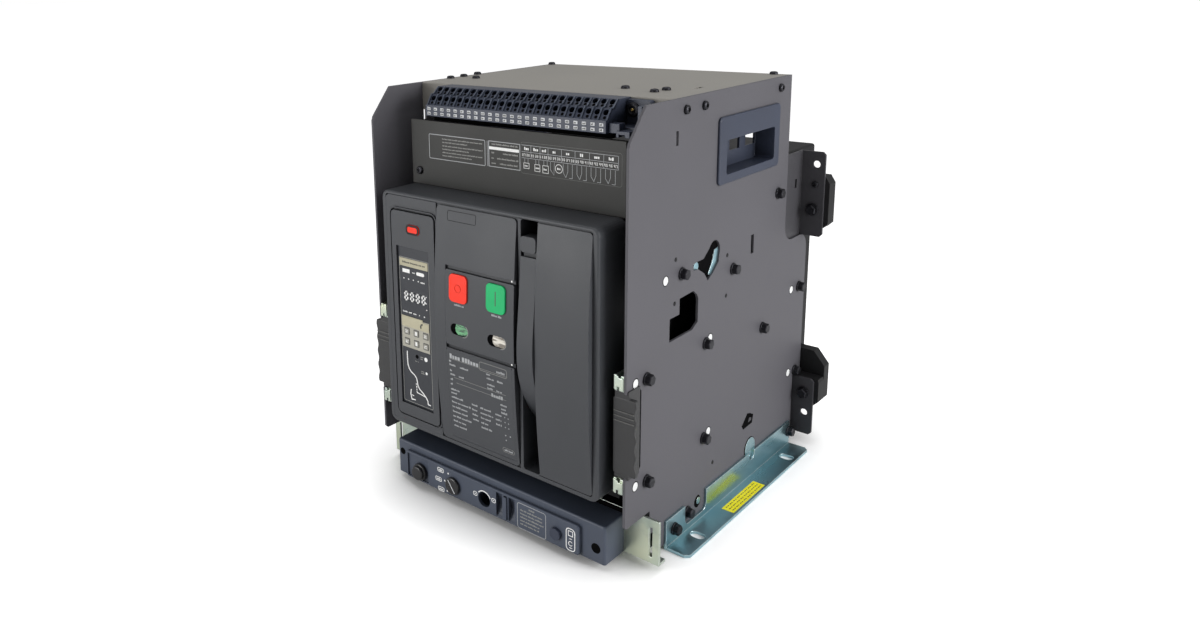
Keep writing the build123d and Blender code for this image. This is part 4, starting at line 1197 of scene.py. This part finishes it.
class BREAKER_OT_trip_unit(bpy.types.Operator):
    """Display film, digits, keys and the tripping curve of the trip unit"""

    bl_idname = "breaker.trip_unit"
    bl_label = "Trip Unit"

    def execute(self, context):
        face = front_face(TRIP_DEPTH)
        on_film = front_face(TRIP_DEPTH - 0.25)
        film = Print().bar(FILM_LEFT, FILM_FOOT, FILM_RIGHT, STRIP_FOOT)
        film.lay("display_film", face, "display film", lift=0.25)
        strip = Print().bar(FILM_LEFT, STRIP_FOOT, FILM_RIGHT, STRIP_TOP)
        strip.lay("cream_strip", face, "cream film", lift=0.25)
        border = Print().frame(-111.2, 103.4, -69.2, 262.4, 0.5, 1.5)
        border.lay("film_border", face, "key ink", slot="black_plastic")
        Print(24).words(-106.5, -74, 257.6, 1.9).lay("strip_marks", on_film, "dark ink")
        ink = Print(25).bar(-106.5, 246.4, -96.2, 250.4)
        ink.words(-92.4, -88.4, 248, 1.3)
        ink.pad(-86.6, 246.2, -75.4, 249.8, 1.6)
        for u in (-104.9, -98, -91.1, -84.1):
            ink.disc(u, 240, 0.75, 10)
        ink.words(-81, -73.8, 239.6, 1.4)
        for u, v in ((-73.5, 225.3), (-73.6, 218.6), (-73.3, 211.6)):
            ink.disc(u, v, 0.7, 10)
        ink.disc(-77, 203.4, 0.8, 10)
        for u0, u1 in ((-108.2, -101.2), (-99.6, -95.2), (-92.8, -88), (-84.6, -83)):
            ink.words(u0, u1, 203.8, 1.6)
        ink.lay("display_marks", on_film, "white ink")
        Print().digits("8888", -89.9, 221.3, 10.4, 0.16).lay("display_digits", on_film, "white ink")
        self.keys()
        self.curve(face)
        return {"FINISHED"}

    def keys(self):
        """Six keys in their rims, the pull mark and the cream band over them."""
        rims = Print()
        caps = Print()
        signs = Print(29)
        for v in KEY_ROWS:
            for u in KEY_COLUMNS:
                rims.pad(u - 3.9, v - 3.7, u + 3.9, v + 3.7, 0.8)
                caps.pad(u - 2.9, v - 2.7, u + 2.9, v + 2.7, 0.6)
                if u == KEY_COLUMNS[1]:
                    signs.pad(u - 1.3, v - 2.1, u + 1.3, v + 2.1, 1.0)
                    continue
                for above in (0.8, -1.0):
                    signs.words(u - 2, u + 2.2, v + above, 1.1)
        face = front_face(KEYPAD_DEPTH)
        rims.lay("key_rims", face, "key rim", lift=0.15)
        caps.lay("key_caps", front_face(KEYPAD_DEPTH - 0.15), "key grey", lift=0.35)
        signs.lay("key_signs", front_face(KEYPAD_DEPTH - 0.5), "white ink")
        Print().arc(-79.6, 191.6, 3.0, 1.5, 95, 215, 10).lay("pull_mark", face, "dark ink", lift=0.5)
        band = Print().bar(-110.4, 187.6, -79.6, 199.2).bar(-79.6, 187.6, -70.8, 196.4)
        band.lay("keypad_band", face, "cream film", lift=0.2)

    def curve(self, face):
        """Tripping curve with its two axes, lamps and test socket."""
        ink = Print().line(CURVE, 1.25)
        ink.line([(-100.6, 117.8), (-101.6, 112.4), (-100.2, 106.9), (-94.6, 107.3)], 1.2)
        ink.line([(-100.4, 111.9), (-96.8, 111.2)], 0.9)
        for ends in DASHES:
            ink.line(ends, 1.0)
        ink.line([(-92.1, 118.3), (-92, 116.6), (-84.6, 115.6), (-80.4, 114.9)], 1.0)
        ink.disc(-77.2, 156.9, 2.3).disc(-77, 141.6, 1.5)
        ink.lay("tripping_curve", face, "white ink")
        faint = Print(33)
        faint.words(-85.4, -80.6, 158, 1.2).words(-85.4, -80.6, 155.9, 1.2)
        faint.words(-84.6, -80, 142.4, 1.2).words(-84.6, -80, 140.4, 1.2)
        faint.words(-93, -88, 151.6, 1.0)
        faint.lay("curve_marks", face, "key ink")
        # The socket's hole as a near black disc: painted shade
        Print().disc(-90.1, 156.9, 2.2).lay("test_socket", face, "void black")


# Middles of the two push buttons, which are also those of the windows under them
OFF_MIDDLE, ON_MIDDLE = -23.6, 24
BUTTON_PROUD = 1.5
WINDOW_SUNK = 1.2
WINDOW_SHADOW = (
    (-11.4, 204.4), (-10.6, 200.6), (-6.4, 198.2), (-2.4, 198.2), (-5.4, 201), (-6.2, 204.4), (-4.6, 209.8),
    (-7.4, 209.6), (-10.6, 207.8),
)


class BREAKER_OT_control_panel(bpy.types.Operator):
    """Marks on and below the push buttons, painted shadows and rim highlights in the windows, painted glints
    on the ledges, and a dark rim round the bare badge recess
    """

    bl_idname = "breaker.control_panel"
    bl_label = "Control Panel"

    def execute(self, context):
        words = Print(41).words(-29.5, -17, 229.4, 2.1).words(18.2, 30.6, 229.4, 2.1)
        words.lay("button_words", bowed_face, "dull ink", slot="label_plate", step=8.0)
        button = sunk_bow(-BUTTON_PROUD)
        ring = Print().arc(OFF_MIDDLE, 246.5, 3.8, 0.55, 0, 360, 28)
        ring.lay("off_mark", button, "red button", "off", step=8.0, lift=0.25)
        bar = Print().bar(23.5, 239.5, 24.5, 253.5)
        bar.lay("on_mark", button, "dark ink", "on", "button_green", step=8.0)
        # Dark shapes in the left of each window: painted shadows
        shadow = Print()
        rims = Print()
        for middle in (OFF_MIDDLE, ON_MIDDLE):
            shadow.shape([(middle + u, v) for u, v in WINDOW_SHADOW])
            # Light arcs on the right of each window's rim: painted highlights
            rims.arc(middle + 5.6, 204, 6.2, 0.5, -95, 60, 12)
        shadow.lay("window_shadows", sunk_bow(WINDOW_SUNK), "void black", lift=0.3)
        rims.lay("window_rim_highlights", bowed_face, "key ink", step=8.0)
        # Bright dots at the right ends of the two ledges: painted glints
        glints = Print().disc(42.4, 185.7, 0.9, 10).disc(42.4, 266.7, 0.9, 10)
        glints.lay("ledge_glints", bowed_face, "white ink")
        badge = Print().frame(-40.4, 311.6, -4.1, 321.3, 0.5, 1.6)
        badge.lay("badge_rim", bowed_face, "deep black", step=8.0)
        return {"FINISHED"}


# Plain lines of the rating plate: left end, right end, middle and height, in millimetres
PLATE_LINES = (
    (-38.6, -35, 168.6, 1.9), (-38.2, -28.4, 164.8, 1.9), (-24.2, -13.6, 164.8, 1.9),
    (-38, -34.6, 158.6, 1.9), (-37.8, -30.4, 154.6, 1.9), (-26.4, -19, 154.6, 1.9), (-37.8, -34, 149.2, 2.2),
    (-38.2, -35.4, 144, 2.0),
    (-38.4, -26.6, 138.2, 1.9), (-38.2, -30.2, 134.4, 1.9), (10, 16, 167.8, 1.9), (10.4, 20, 163.6, 1.9),
    (23.4, 30.6, 163.6, 1.9), (10.6, 20.4, 157.4, 1.9), (10.8, 18.2, 153.4, 1.9), (22.2, 29.8, 153.4, 1.9),
    (15.4, 31.6, 147.4, 3.6), (26.2, 34.4, 140.4, 2.0), (27, 34.6, 136.2, 2.0), (26.8, 34.8, 132.2, 2.0),
)
LIST_PITCH = 5.3


class BREAKER_OT_nameplate(bpy.types.Operator):
    """Plain lines and rules of the rating plate, with no words"""

    bl_idname = "breaker.nameplate"
    bl_label = "Rating Plate"

    def execute(self, context):
        ink = Print(51).words(-37.5, 0.2, 174.2, 4.8).words(23, 34.2, 173.6, 2.6)
        for u0, u1, v, tall in PLATE_LINES:
            ink.words(u0, u1, v, tall)
        for u0, top, ends in (
            (-38.2, 129.6, (-22.4, -13.2, -17.6, -17.8, -12.6, -21.4, -20.4)),
            (-11.2, 129.2, (-3.4,) * 4),
            (-0.4, 128.8, (15, 16.4, 13.6, 8.6, 14.2)),
        ):
            for k, u1 in enumerate(ends):
                ink.words(u0, u1, top - LIST_PITCH * k, 1.9)
        for k in range(3):
            ink.words(19, 26.6, 128.2 - LIST_PITCH * k, 1.9)
            ink.disc(30.6, 128 - LIST_PITCH * k, 0.6, 8).disc(34.8, 127.8 - LIST_PITCH * k, 0.6, 8)
        ink.disc(30.2, 108.6, 0.7, 8).disc(30.4, 103.4, 0.7, 8).disc(36, 109, 0.7, 8)
        ink.words(27.2, 37.2, 92.2, 1.9)
        thin = Print().frame(1.6, 169.6, 35.6, 178.2, 0.4, 2.0)
        for u0, u1, v in ((-33, 33.6, 151.8), (-30.2, 33.6, 146.6), (-38.2, 34.6, 171.2)):
            thin.bar(u0, v - 0.15, u1, v + 0.15)
        thin.frame(25.2, 90, 39.2, 94.6, 0.3, 2.0)
        ink.lay("plate_marks", bowed_face, "dull ink", step=8.0)
        thin.lay("plate_rules", bowed_face, "key ink", step=8.0)
        return {"FINISHED"}


# Middles of the racking panel's knobs and socket: right and up, in millimetres
CRANK = (-98.9, 20)
INDICATOR = (-49.8, 22)
SOCKET = (-7.6, 22)


class BREAKER_OT_bezel_marks(bpy.types.Operator):
    """Position marks, arc and plain labels of the racking bezel, and the panel's two holes as near black
    discs of painted shade
    """

    bl_idname = "breaker.bezel_marks"
    bl_label = "Bezel Marks"

    def execute(self, context):
        face = front_face(BEZEL_DEPTH)
        ink = Print(61)
        for u, v in ((-68, 33.2), (-71.2, 22), (-67.8, 11.4)):
            ink.frame(u - 4.2, v - 2.1, u + 4.2, v + 2.1, 0.7, 1.4)
            ink.words(u - 2.8, u + 3.0, v, 2.2)
        for u, v in ((-57, 33), (-62.2, 23), (-58.8, 12.4)):
            ink.disc(u, v, 1.0, 12)
        ink.arc(*SOCKET, 9.2, 1.1, 25, 142, 18)
        for u, v in ((-19.4, 24.6), (5.2, 25.8)):
            ink.frame(u - 2.4, v - 2, u + 2.4, v + 2, 0.7, 1.4)
            ink.bar(u - 1, v - 0.4, u + 1, v + 0.4)
        ink.frame(94.6, 10.4, 104.4, 33, 0.9, 3.4)
        ink.lay("bezel_marks", face, "white ink", "cradle")
        signs = Print().line([(97, 30.6), (97, 25.6), (102, 25.6), (102, 30.6), (97, 30.6)], 0.7)
        signs.line([(98.2, 22.6), (101, 22.6)], 0.7)
        signs.arc(99.5, 17.6, 2.2, 0.7, 30, 330, 12)
        signs.line([(98, 13.2), (101.4, 13.2)], 0.7)
        signs.lay("bezel_signs", face, "white ink", "cradle")
        Print().frame(35.8, 9.3, 70.5, 36.3, 0.6, 2.6).lay("bezel_frame", face, "dull ink", "cradle")
        faint = Print(64).words(50, 57, 33, 1.7)
        for k in range(5):
            faint.words(39.4, 68 - 5 * (k > 2), 29.4 - 3.7 * k, 1.6)
        faint.lay("bezel_words", face, "key ink", "cradle")
        # The panel's two holes as near black discs: painted shade
        holes = Print().disc(125.3, 22, 5.0, 28).disc(-128.5, 33, 3.8, 24)
        holes.lay("panel_holes", front_face(front_depth("racking_panel")), "void black", "cradle")
        return {"FINISHED"}


CRANK_BASE = -2.3


class BREAKER_OT_racking_knobs(bpy.types.Operator):
    """Knob of the stowed racking crank and the position indicator's knob"""

    bl_idname = "breaker.racking_knobs"
    bl_label = "Racking Knobs"

    def execute(self, context):
        end = (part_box("racking_crank")[1].y - PLATE_FRONT) / MM
        self.knob("crank", "racking_crank", "crank_knob", spot(CRANK[0], CRANK_BASE, CRANK[1]), (
            (0, CRANK_BASE - end), (3, CRANK_BASE - end), (3, 0), (9.3, 0), (9.4, 2.8), (9.1, 3.5),
            (8.4, 3.8), (7.9, 3.7), (7.8, 4.2), (7.8, 6.2), (7.4, 7.0), (6.6, 7.3), (0, 7.4),
        ))
        low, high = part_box("position_indicator")
        end = (high.y - PLATE_FRONT) / MM
        shaft = (high.x - low.x) / MM / 2
        u, v = INDICATOR
        self.knob("indicator", "position_indicator", "indicator_knob", spot(u, BEZEL_DEPTH - 0.05, v), (
            (0, BEZEL_DEPTH - end), (shaft - 0.2, BEZEL_DEPTH - end), (shaft - 0.2, 0), (9.2, 0), (9.3, 2.4),
            (9.0, 3.1), (8.2, 3.5), (0, 3.6),
        ))
        pointer = Print().line([(u - 4.6, v + 6.4), (u + 4.6, v - 6.4)], 1.0)
        pointer.lay("pointer_line", front_face(BEZEL_DEPTH - 3.65), "tag white", "indicator", lift=0.2)
        return {"FINISHED"}

    def knob(self, body, node, name, point, profile):
        """A turned knob in the place of a node."""
        bm = bmesh.new()
        turned(bm, facing(point, FORWARD), profile, 40)
        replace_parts(new_piece(name, bm, "gloss black", body), node)


RIM_LENGTH = 43


class BREAKER_OT_cover_rims(bpy.types.Operator):
    """Rounded rim of the cover, rim of the trip unit's door with painted shade in its gap, and the reset
    button's rim
    """

    bl_idname = "breaker.cover_rims"
    bl_label = "Cover Rims"

    def execute(self, context):
        outer = (COVER_LOW.x - 2.5, COVER_LOW.z - 1.6, COVER_HIGH.x + 2.5, COVER_HIGH.z + 1.5)
        inner = (COVER_LOW.x + 3.3, COVER_LOW.z + 3.3, COVER_HIGH.x - 3.3, COVER_HIGH.z - 1.6)
        rim = bmesh.new()
        loops = [self.loop(inner, 0, RIM_DEPTH - 0.1, 3.0)]
        for inset, deep in ((2.2, -0.1), (1.3, 0.1), (0.6, 0.6), (0.1, 1.4), (0, 2.2), (0, RIM_LENGTH)):
            loops.append(self.loop(outer, inset, RIM_DEPTH + deep, 8.0))
        loops.append(self.loop(inner, 0, RIM_DEPTH + RIM_LENGTH, 3.0))
        banded(rim, loops, closed=True)
        new_piece("cover_rim", rim, "cover moulding", "breaker")
        face = front_face(RIM_DEPTH)
        Print().frame(-121.9, 85.6, -56.3, 314.2, 1.2, 8).lay("door_rim", face, "cover moulding", lift=1.5)
        # Near black bar in the door's gap: painted shade
        Print().bar(-58.4, 92, -56.9, 308).lay("door_gap_shade", face, "void black", lift=0.3)
        low, high = (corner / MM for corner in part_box("reset_button"))
        reset = Print().frame(low.x + 1, low.z + 1, high.x - 1, high.z - 1, 2.0, 3.0)
        reset.lay("reset_rim", front_face(front_depth("reset_button")), "deep black", "reset", lift=0.2)
        return {"FINISHED"}

    def loop(self, box, inset, depth, radius):
        u0, v0, u1, v1 = box
        points = rounded_outline(u0 + inset, v0 + inset, u1 - inset, v1 - inset, radius - inset * 0.6)
        return [spot(u, depth, v) for u, v in points]


# A grip's plate, and the core that fills the rail behind it: right of the middle and up
GRIP_BACK = 6.0
GRIP_THICK = 4.5
GRIP_IN, GRIP_OUT = 141.5, 164.2
GRIP_FOOT, GRIP_HEIGHT = 105, 72.4
GRIP_WAVES, GRIP_WAVE = 4.5, 0.8
CORE = ((143, 100.9), (157.5, 100.9), (157.5, 184.9), (143, 184.9))
CORE_BACK, CORE_THICK = 20, 18.3
GRIP_RIBS = (165.2, 160.6, 156)
END_BLOCKS = ((87, 100.5), (185.3, 199.8))


class BREAKER_OT_rail_grips(bpy.types.Operator):
    """Wavy hand grips on the extension rails with painted highlights on their ribs, and the rails' end blocks
    """

    bl_idname = "breaker.rail_grips"
    bl_label = "Rail Grips"

    def execute(self, context):
        for side, name in SIDES:
            body = f"rail_{name}"
            grip = bmesh.new()
            slab(grip, self.outline(side), front_face(GRIP_BACK), 0, GRIP_THICK, 1.0)
            slab(grip, [(side * u, v) for u, v in CORE], front_face(CORE_BACK), 0, CORE_THICK, 0.5)
            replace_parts(new_piece(f"grip_{name}", grip, "black moulding", body), f"rail_grip_{name}")
            # Ribs in lighter grey than the grip: painted highlight
            ribs = Print()
            u0, u1 = sorted((side * 142.6, side * 163.2))
            for v in GRIP_RIBS:
                ribs.bar(u0, v - 0.45, u1, v + 0.45)
            ribs.lay(f"grip_rib_highlights_{name}", front_face(GRIP_BACK - GRIP_THICK), "grip edge", body, lift=0.6)
            ends = bmesh.new()
            for v0, v1 in END_BLOCKS:
                outline = (
                    (144.1, v0 + 1), (145.6, v0), (147, v0), (147, v0 + 3.4), (149.4, v0 + 3.4), (149.4, v0),
                    (153.3, v0), (153.3, v1 - 2.6), (148.6, v1 - 2.6), (148.6, v1 - 1), (147, v1 - 1),
                    (147, v1), (144.1, v1),
                )
                slab(ends, [(side * u, v) for u, v in outline], front_face(0), -0.5, 1.6, 0.4)
            new_piece(f"rail_end_blocks_{name}", ends, "pale zinc", body)
        return {"FINISHED"}

    def outline(self, side):
        """Front view of a grip: straight inside, shallow waves outside."""
        points = [(GRIP_IN, 105.6), (143, 104.8)]
        steps = 40
        for k in range(steps + 1):
            share = k / steps
            wave = GRIP_WAVE * math.sin(2 * math.pi * GRIP_WAVES * share)
            points.append((GRIP_OUT + wave, GRIP_FOOT + GRIP_HEIGHT * share))
        points += [(163, 178), (143, 177.6), (GRIP_IN, 176.4)]
        return [(side * u, v) for u, v in points]


TRAY_EDGE = 143
LEVER = ((144.7, 255.4), (151, 253.6), (160.4, 262), (164, 272), (163.2, 279), (156, 277.4), (153, 268))


class BREAKER_OT_inner_plates(bpy.types.Operator):
    """Near black pieces where only shade falls, as painted shade: a baffle under the terminals that also
    stops light, strips over the tray's front edge and a sheet behind each keyhole; and the latch lever behind
    each keyhole
    """

    bl_idname = "breaker.inner_plates"
    bl_label = "Inner Plates"

    def execute(self, context):
        # Near black baffle under the terminals: painted shade, and it stops light coming through there
        rail = bmesh.new()
        low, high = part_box("terminal_block")
        half = high.x / MM - 1
        slab(rail, ((-half, 46), (half, 46), (half, 74), (-half, 74)), top_face(low.z / MM - 6), 0, 5.9, 0.5)
        new_piece("terminal_shade_baffle", rail, "void black")
        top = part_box("base_tray")[1].z / MM
        front = front_depth("base_tray")
        # Near black strips on the tray's front and upper edge: painted shade
        shaded = Print().bar(-TRAY_EDGE, 46.2, TRAY_EDGE, top - 0.2)
        shaded.lay("panel_shade_strip", front_face(front), "void black", "cradle", lift=0.3)
        edge = Print().bar(-TRAY_EDGE, front + 0.2, TRAY_EDGE, front + 12)
        edge.lay("tray_edge_shade", top_face(top), "void black", "cradle", lift=0.3)
        for side, name in SIDES:
            face = side_face(side * (PLATE_IN - 0.6))
            # Near black sheet behind the keyhole: painted shade
            plate = Print().bar(110, 245, 170, 298)
            plate.lay(f"keyhole_shade_{name}", face, "void black", "cradle", lift=0.55)
            lever = Print().disc(120.6, 269, 4.4, 22).shape(LEVER).disc(136.2, 253.6, 2.6, 16)
            lever.lay(f"latch_lever_{name}", face, "blue zinc", "cradle", lift=1.4)
        return {"FINISHED"}


FOOT_TOP = 3.0
STICKER_THICK = 0.15
STICKER_ROWS = (169.2, 172.9, 176.6)
MARK_LENGTHS = (2.9, 2.1, 3.2, 1.6)


class BREAKER_OT_foot_sticker(bpy.types.Operator):
    """Plain yellow sticker with rows of short dashes on the right foot"""

    bl_idname = "breaker.foot_sticker"
    bl_label = "Foot Sticker"

    def execute(self, context):
        sticker = Print().bar(166.4, 165, 179.4, 236)
        sticker.lay("foot_sticker", top_face(FOOT_TOP), "yellow sticker", "cradle", lift=STICKER_THICK)
        lines = Print(72)
        for u in STICKER_ROWS:
            lines.words(u - 0.5, u + 0.5, 180, 0.5)
            for k in range(16):
                v = 169 + 4.1 * k
                lines.bar(u - 0.5, v, u + 0.5, v + MARK_LENGTHS[k % 4])
        lines.lay("sticker_lines", top_face(FOOT_TOP + STICKER_THICK), "sticker ink", "cradle")
        return {"FINISHED"}


LEAF_THICKNESS = 2.5
LEAF_BOLTS = ((167.4, 280.3), (168, 64.3))
LEAF_SCREW = (169.2, 308.4)


class BREAKER_OT_rear_fasteners(bpy.types.Operator):
    """Screws of the rear brackets"""

    bl_idname = "breaker.rear_fasteners"
    bl_label = "Rear Fasteners"

    def execute(self, context):
        leaf = (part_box("rear_brackets")[1].y - PLATE_FRONT) / MM - LEAF_THICKNESS
        screws = bmesh.new()
        for side, _ in SIDES:
            for x, z in LEAF_BOLTS:
                hex_bolt(screws, spot(side * x, leaf, z), FORWARD, 12.6, 7.0, 0.4)
            pan_screw(screws, spot(side * LEAF_SCREW[0], leaf, LEAF_SCREW[1]), FORWARD, 7.0, 3.0)
        new_piece("rear_screws", screws, "black oxide")
        return {"FINISHED"}


# The camera: place in metres, angles in degrees, and the framing of the picture
CAMERA_PLACE = (0.56779, -0.86238, 0.53699)
CAMERA_YAW, CAMERA_PITCH, CAMERA_ROLL = 43.8938, 11.8864, -1.7897
CAMERA_LENS, CAMERA_SENSOR = 28.2, 36.0
CAMERA_SHIFT = (0.1348, -0.1118)


class BREAKER_OT_studio(bpy.types.Operator):
    """Pale floor, soft lights and the camera"""

    bl_idname = "breaker.studio"
    bl_label = "Studio"

    def execute(self, context):
        studio = context.scene.breaker_studio
        self.floor(studio.floor_size / 2)
        world = bpy.data.worlds.new("white surroundings")
        world.use_nodes = True
        background = world.node_tree.nodes["Background"]
        background.inputs["Color"].default_value = (1.0, 1.0, 1.0, 1.0)
        sky = Tree(world.node_tree)
        seen = sky.add("ShaderNodeLightPath").outputs["Is Camera Ray"]
        sky.feed(background.inputs["Strength"], sky.spread(seen, 0.0, 1.0, studio.sky, 1.0))
        context.scene.world = world
        self.light("key light", (1.7, 0.15, 0.75), (0.1, 0.0, 0.25), 0.9, studio.key_power)
        self.light("top light", (-0.2, 0.1, 1.9), (0.0, 0.0, 0.3), 1.4, studio.top_power)
        self.light("front light", (-0.9, -1.8, 0.45), (0.0, 0.0, 0.15), 0.85, studio.front_power)
        self.camera(context.scene)
        context.scene.view_settings.view_transform = "Standard"
        context.scene.view_settings.look = "None"
        return {"FINISHED"}

    def floor(self, half):
        """White floor that glows softly where nothing stands close, for the camera alone."""
        bm = bmesh.new()
        bmesh.ops.create_grid(bm, x_segments=8, y_segments=8, size=half)
        mesh = bpy.data.meshes.new("floor")
        bm.to_mesh(mesh)
        bm.free()
        floor = bpy.data.objects.new("floor", mesh)
        bpy.context.collection.objects.link(floor)
        material, tree, shader = start_material("pale floor", {"Roughness": 0.85, "Emission Strength": 0.62})
        tone = tree.spread(tree.noise(3.0, 2.0), 0.3, 0.7)
        tree.feed(shader.inputs["Base Color"], tree.mix(tone, (0.9, 0.9, 0.9, 1.0), (0.93, 0.93, 0.93, 1.0)))
        seen = tree.add("ShaderNodeLightPath").outputs["Is Camera Ray"]
        # The glow fades where things stand close: a painted contact shadow on the floor
        open_sky = tree.add("ShaderNodeAmbientOcclusion", {"Distance": 0.12}, samples=16).outputs["AO"]
        glow = tree.calc("MULTIPLY", seen, tree.spread(open_sky, 0.4, 0.97))
        tree.feed(shader.inputs["Emission Color"], tree.mix(glow, (0.0, 0.0, 0.0, 1.0), (1.0, 1.0, 1.0, 1.0)))
        mesh.materials.append(material)

    def light(self, name, place, target, size, power):
        lamp = bpy.data.lights.new(name, "AREA")
        lamp.shape = "SQUARE"
        lamp.size = size
        lamp.energy = power
        item = bpy.data.objects.new(name, lamp)
        item.location = place
        item.rotation_euler = (Vector(target) - Vector(place)).to_track_quat("-Z", "Y").to_euler()
        bpy.context.collection.objects.link(item)

    def camera(self, scene):
        """The camera stands front right of the breaker and looks slightly down."""
        lens = bpy.data.cameras.new("camera")
        lens.lens = CAMERA_LENS
        lens.sensor_width = CAMERA_SENSOR
        lens.sensor_fit = "HORIZONTAL"
        lens.shift_x, lens.shift_y = CAMERA_SHIFT
        lens.clip_end = 300.0
        item = bpy.data.objects.new("camera", lens)
        yaw = Matrix.Rotation(math.radians(CAMERA_YAW), 4, "Z")
        pitch = Matrix.Rotation(math.pi / 2 - math.radians(CAMERA_PITCH), 4, "X")
        roll = Matrix.Rotation(math.radians(CAMERA_ROLL), 4, "Z")
        item.matrix_world = Matrix.Translation(CAMERA_PLACE) @ yaw @ pitch @ roll
        bpy.context.collection.objects.link(item)
        scene.camera = item


OPERATORS = (
    BREAKER_OT_finishes,
    BREAKER_OT_side_fasteners,
    BREAKER_OT_top_screws,
    BREAKER_OT_terminal_block,
    BREAKER_OT_bracket_screws,
    BREAKER_OT_label_plate,
    BREAKER_OT_trip_unit,
    BREAKER_OT_control_panel,
    BREAKER_OT_nameplate,
    BREAKER_OT_bezel_marks,
    BREAKER_OT_racking_knobs,
    BREAKER_OT_cover_rims,
    BREAKER_OT_rail_grips,
    BREAKER_OT_inner_plates,
    BREAKER_OT_foot_sticker,
    BREAKER_OT_rear_fasteners,
    BREAKER_OT_studio,
)


class BREAKER_PT_looks(bpy.types.Panel):
    """Lists the steps that dress the breaker"""

    bl_idname = "BREAKER_PT_looks"
    bl_label = "Breaker"
    bl_space_type = "VIEW_3D"
    bl_region_type = "UI"
    bl_category = "Breaker"

    def draw(self, context):
        for operator in OPERATORS:
            self.layout.operator(operator.bl_idname)


SETTINGS = (BreakerColours, BreakerSizes, BreakerStudio)


def register():
    for item in (*SETTINGS, *OPERATORS, BREAKER_PT_looks):
        bpy.utils.register_class(item)
    bpy.types.Scene.breaker_colours = PointerProperty(type=BreakerColours)
    bpy.types.Scene.breaker_sizes = PointerProperty(type=BreakerSizes)
    bpy.types.Scene.breaker_studio = PointerProperty(type=BreakerStudio)


def unregister():
    del bpy.types.Scene.breaker_colours
    del bpy.types.Scene.breaker_sizes
    del bpy.types.Scene.breaker_studio
    for item in reversed((*SETTINGS, *OPERATORS, BREAKER_PT_looks)):
        bpy.utils.unregister_class(item)


def main():
    register()
    for operator in OPERATORS:
        group, name = operator.bl_idname.split(".")
        getattr(getattr(bpy.ops, group), name)()
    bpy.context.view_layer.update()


if __name__ == "__main__":
    main()
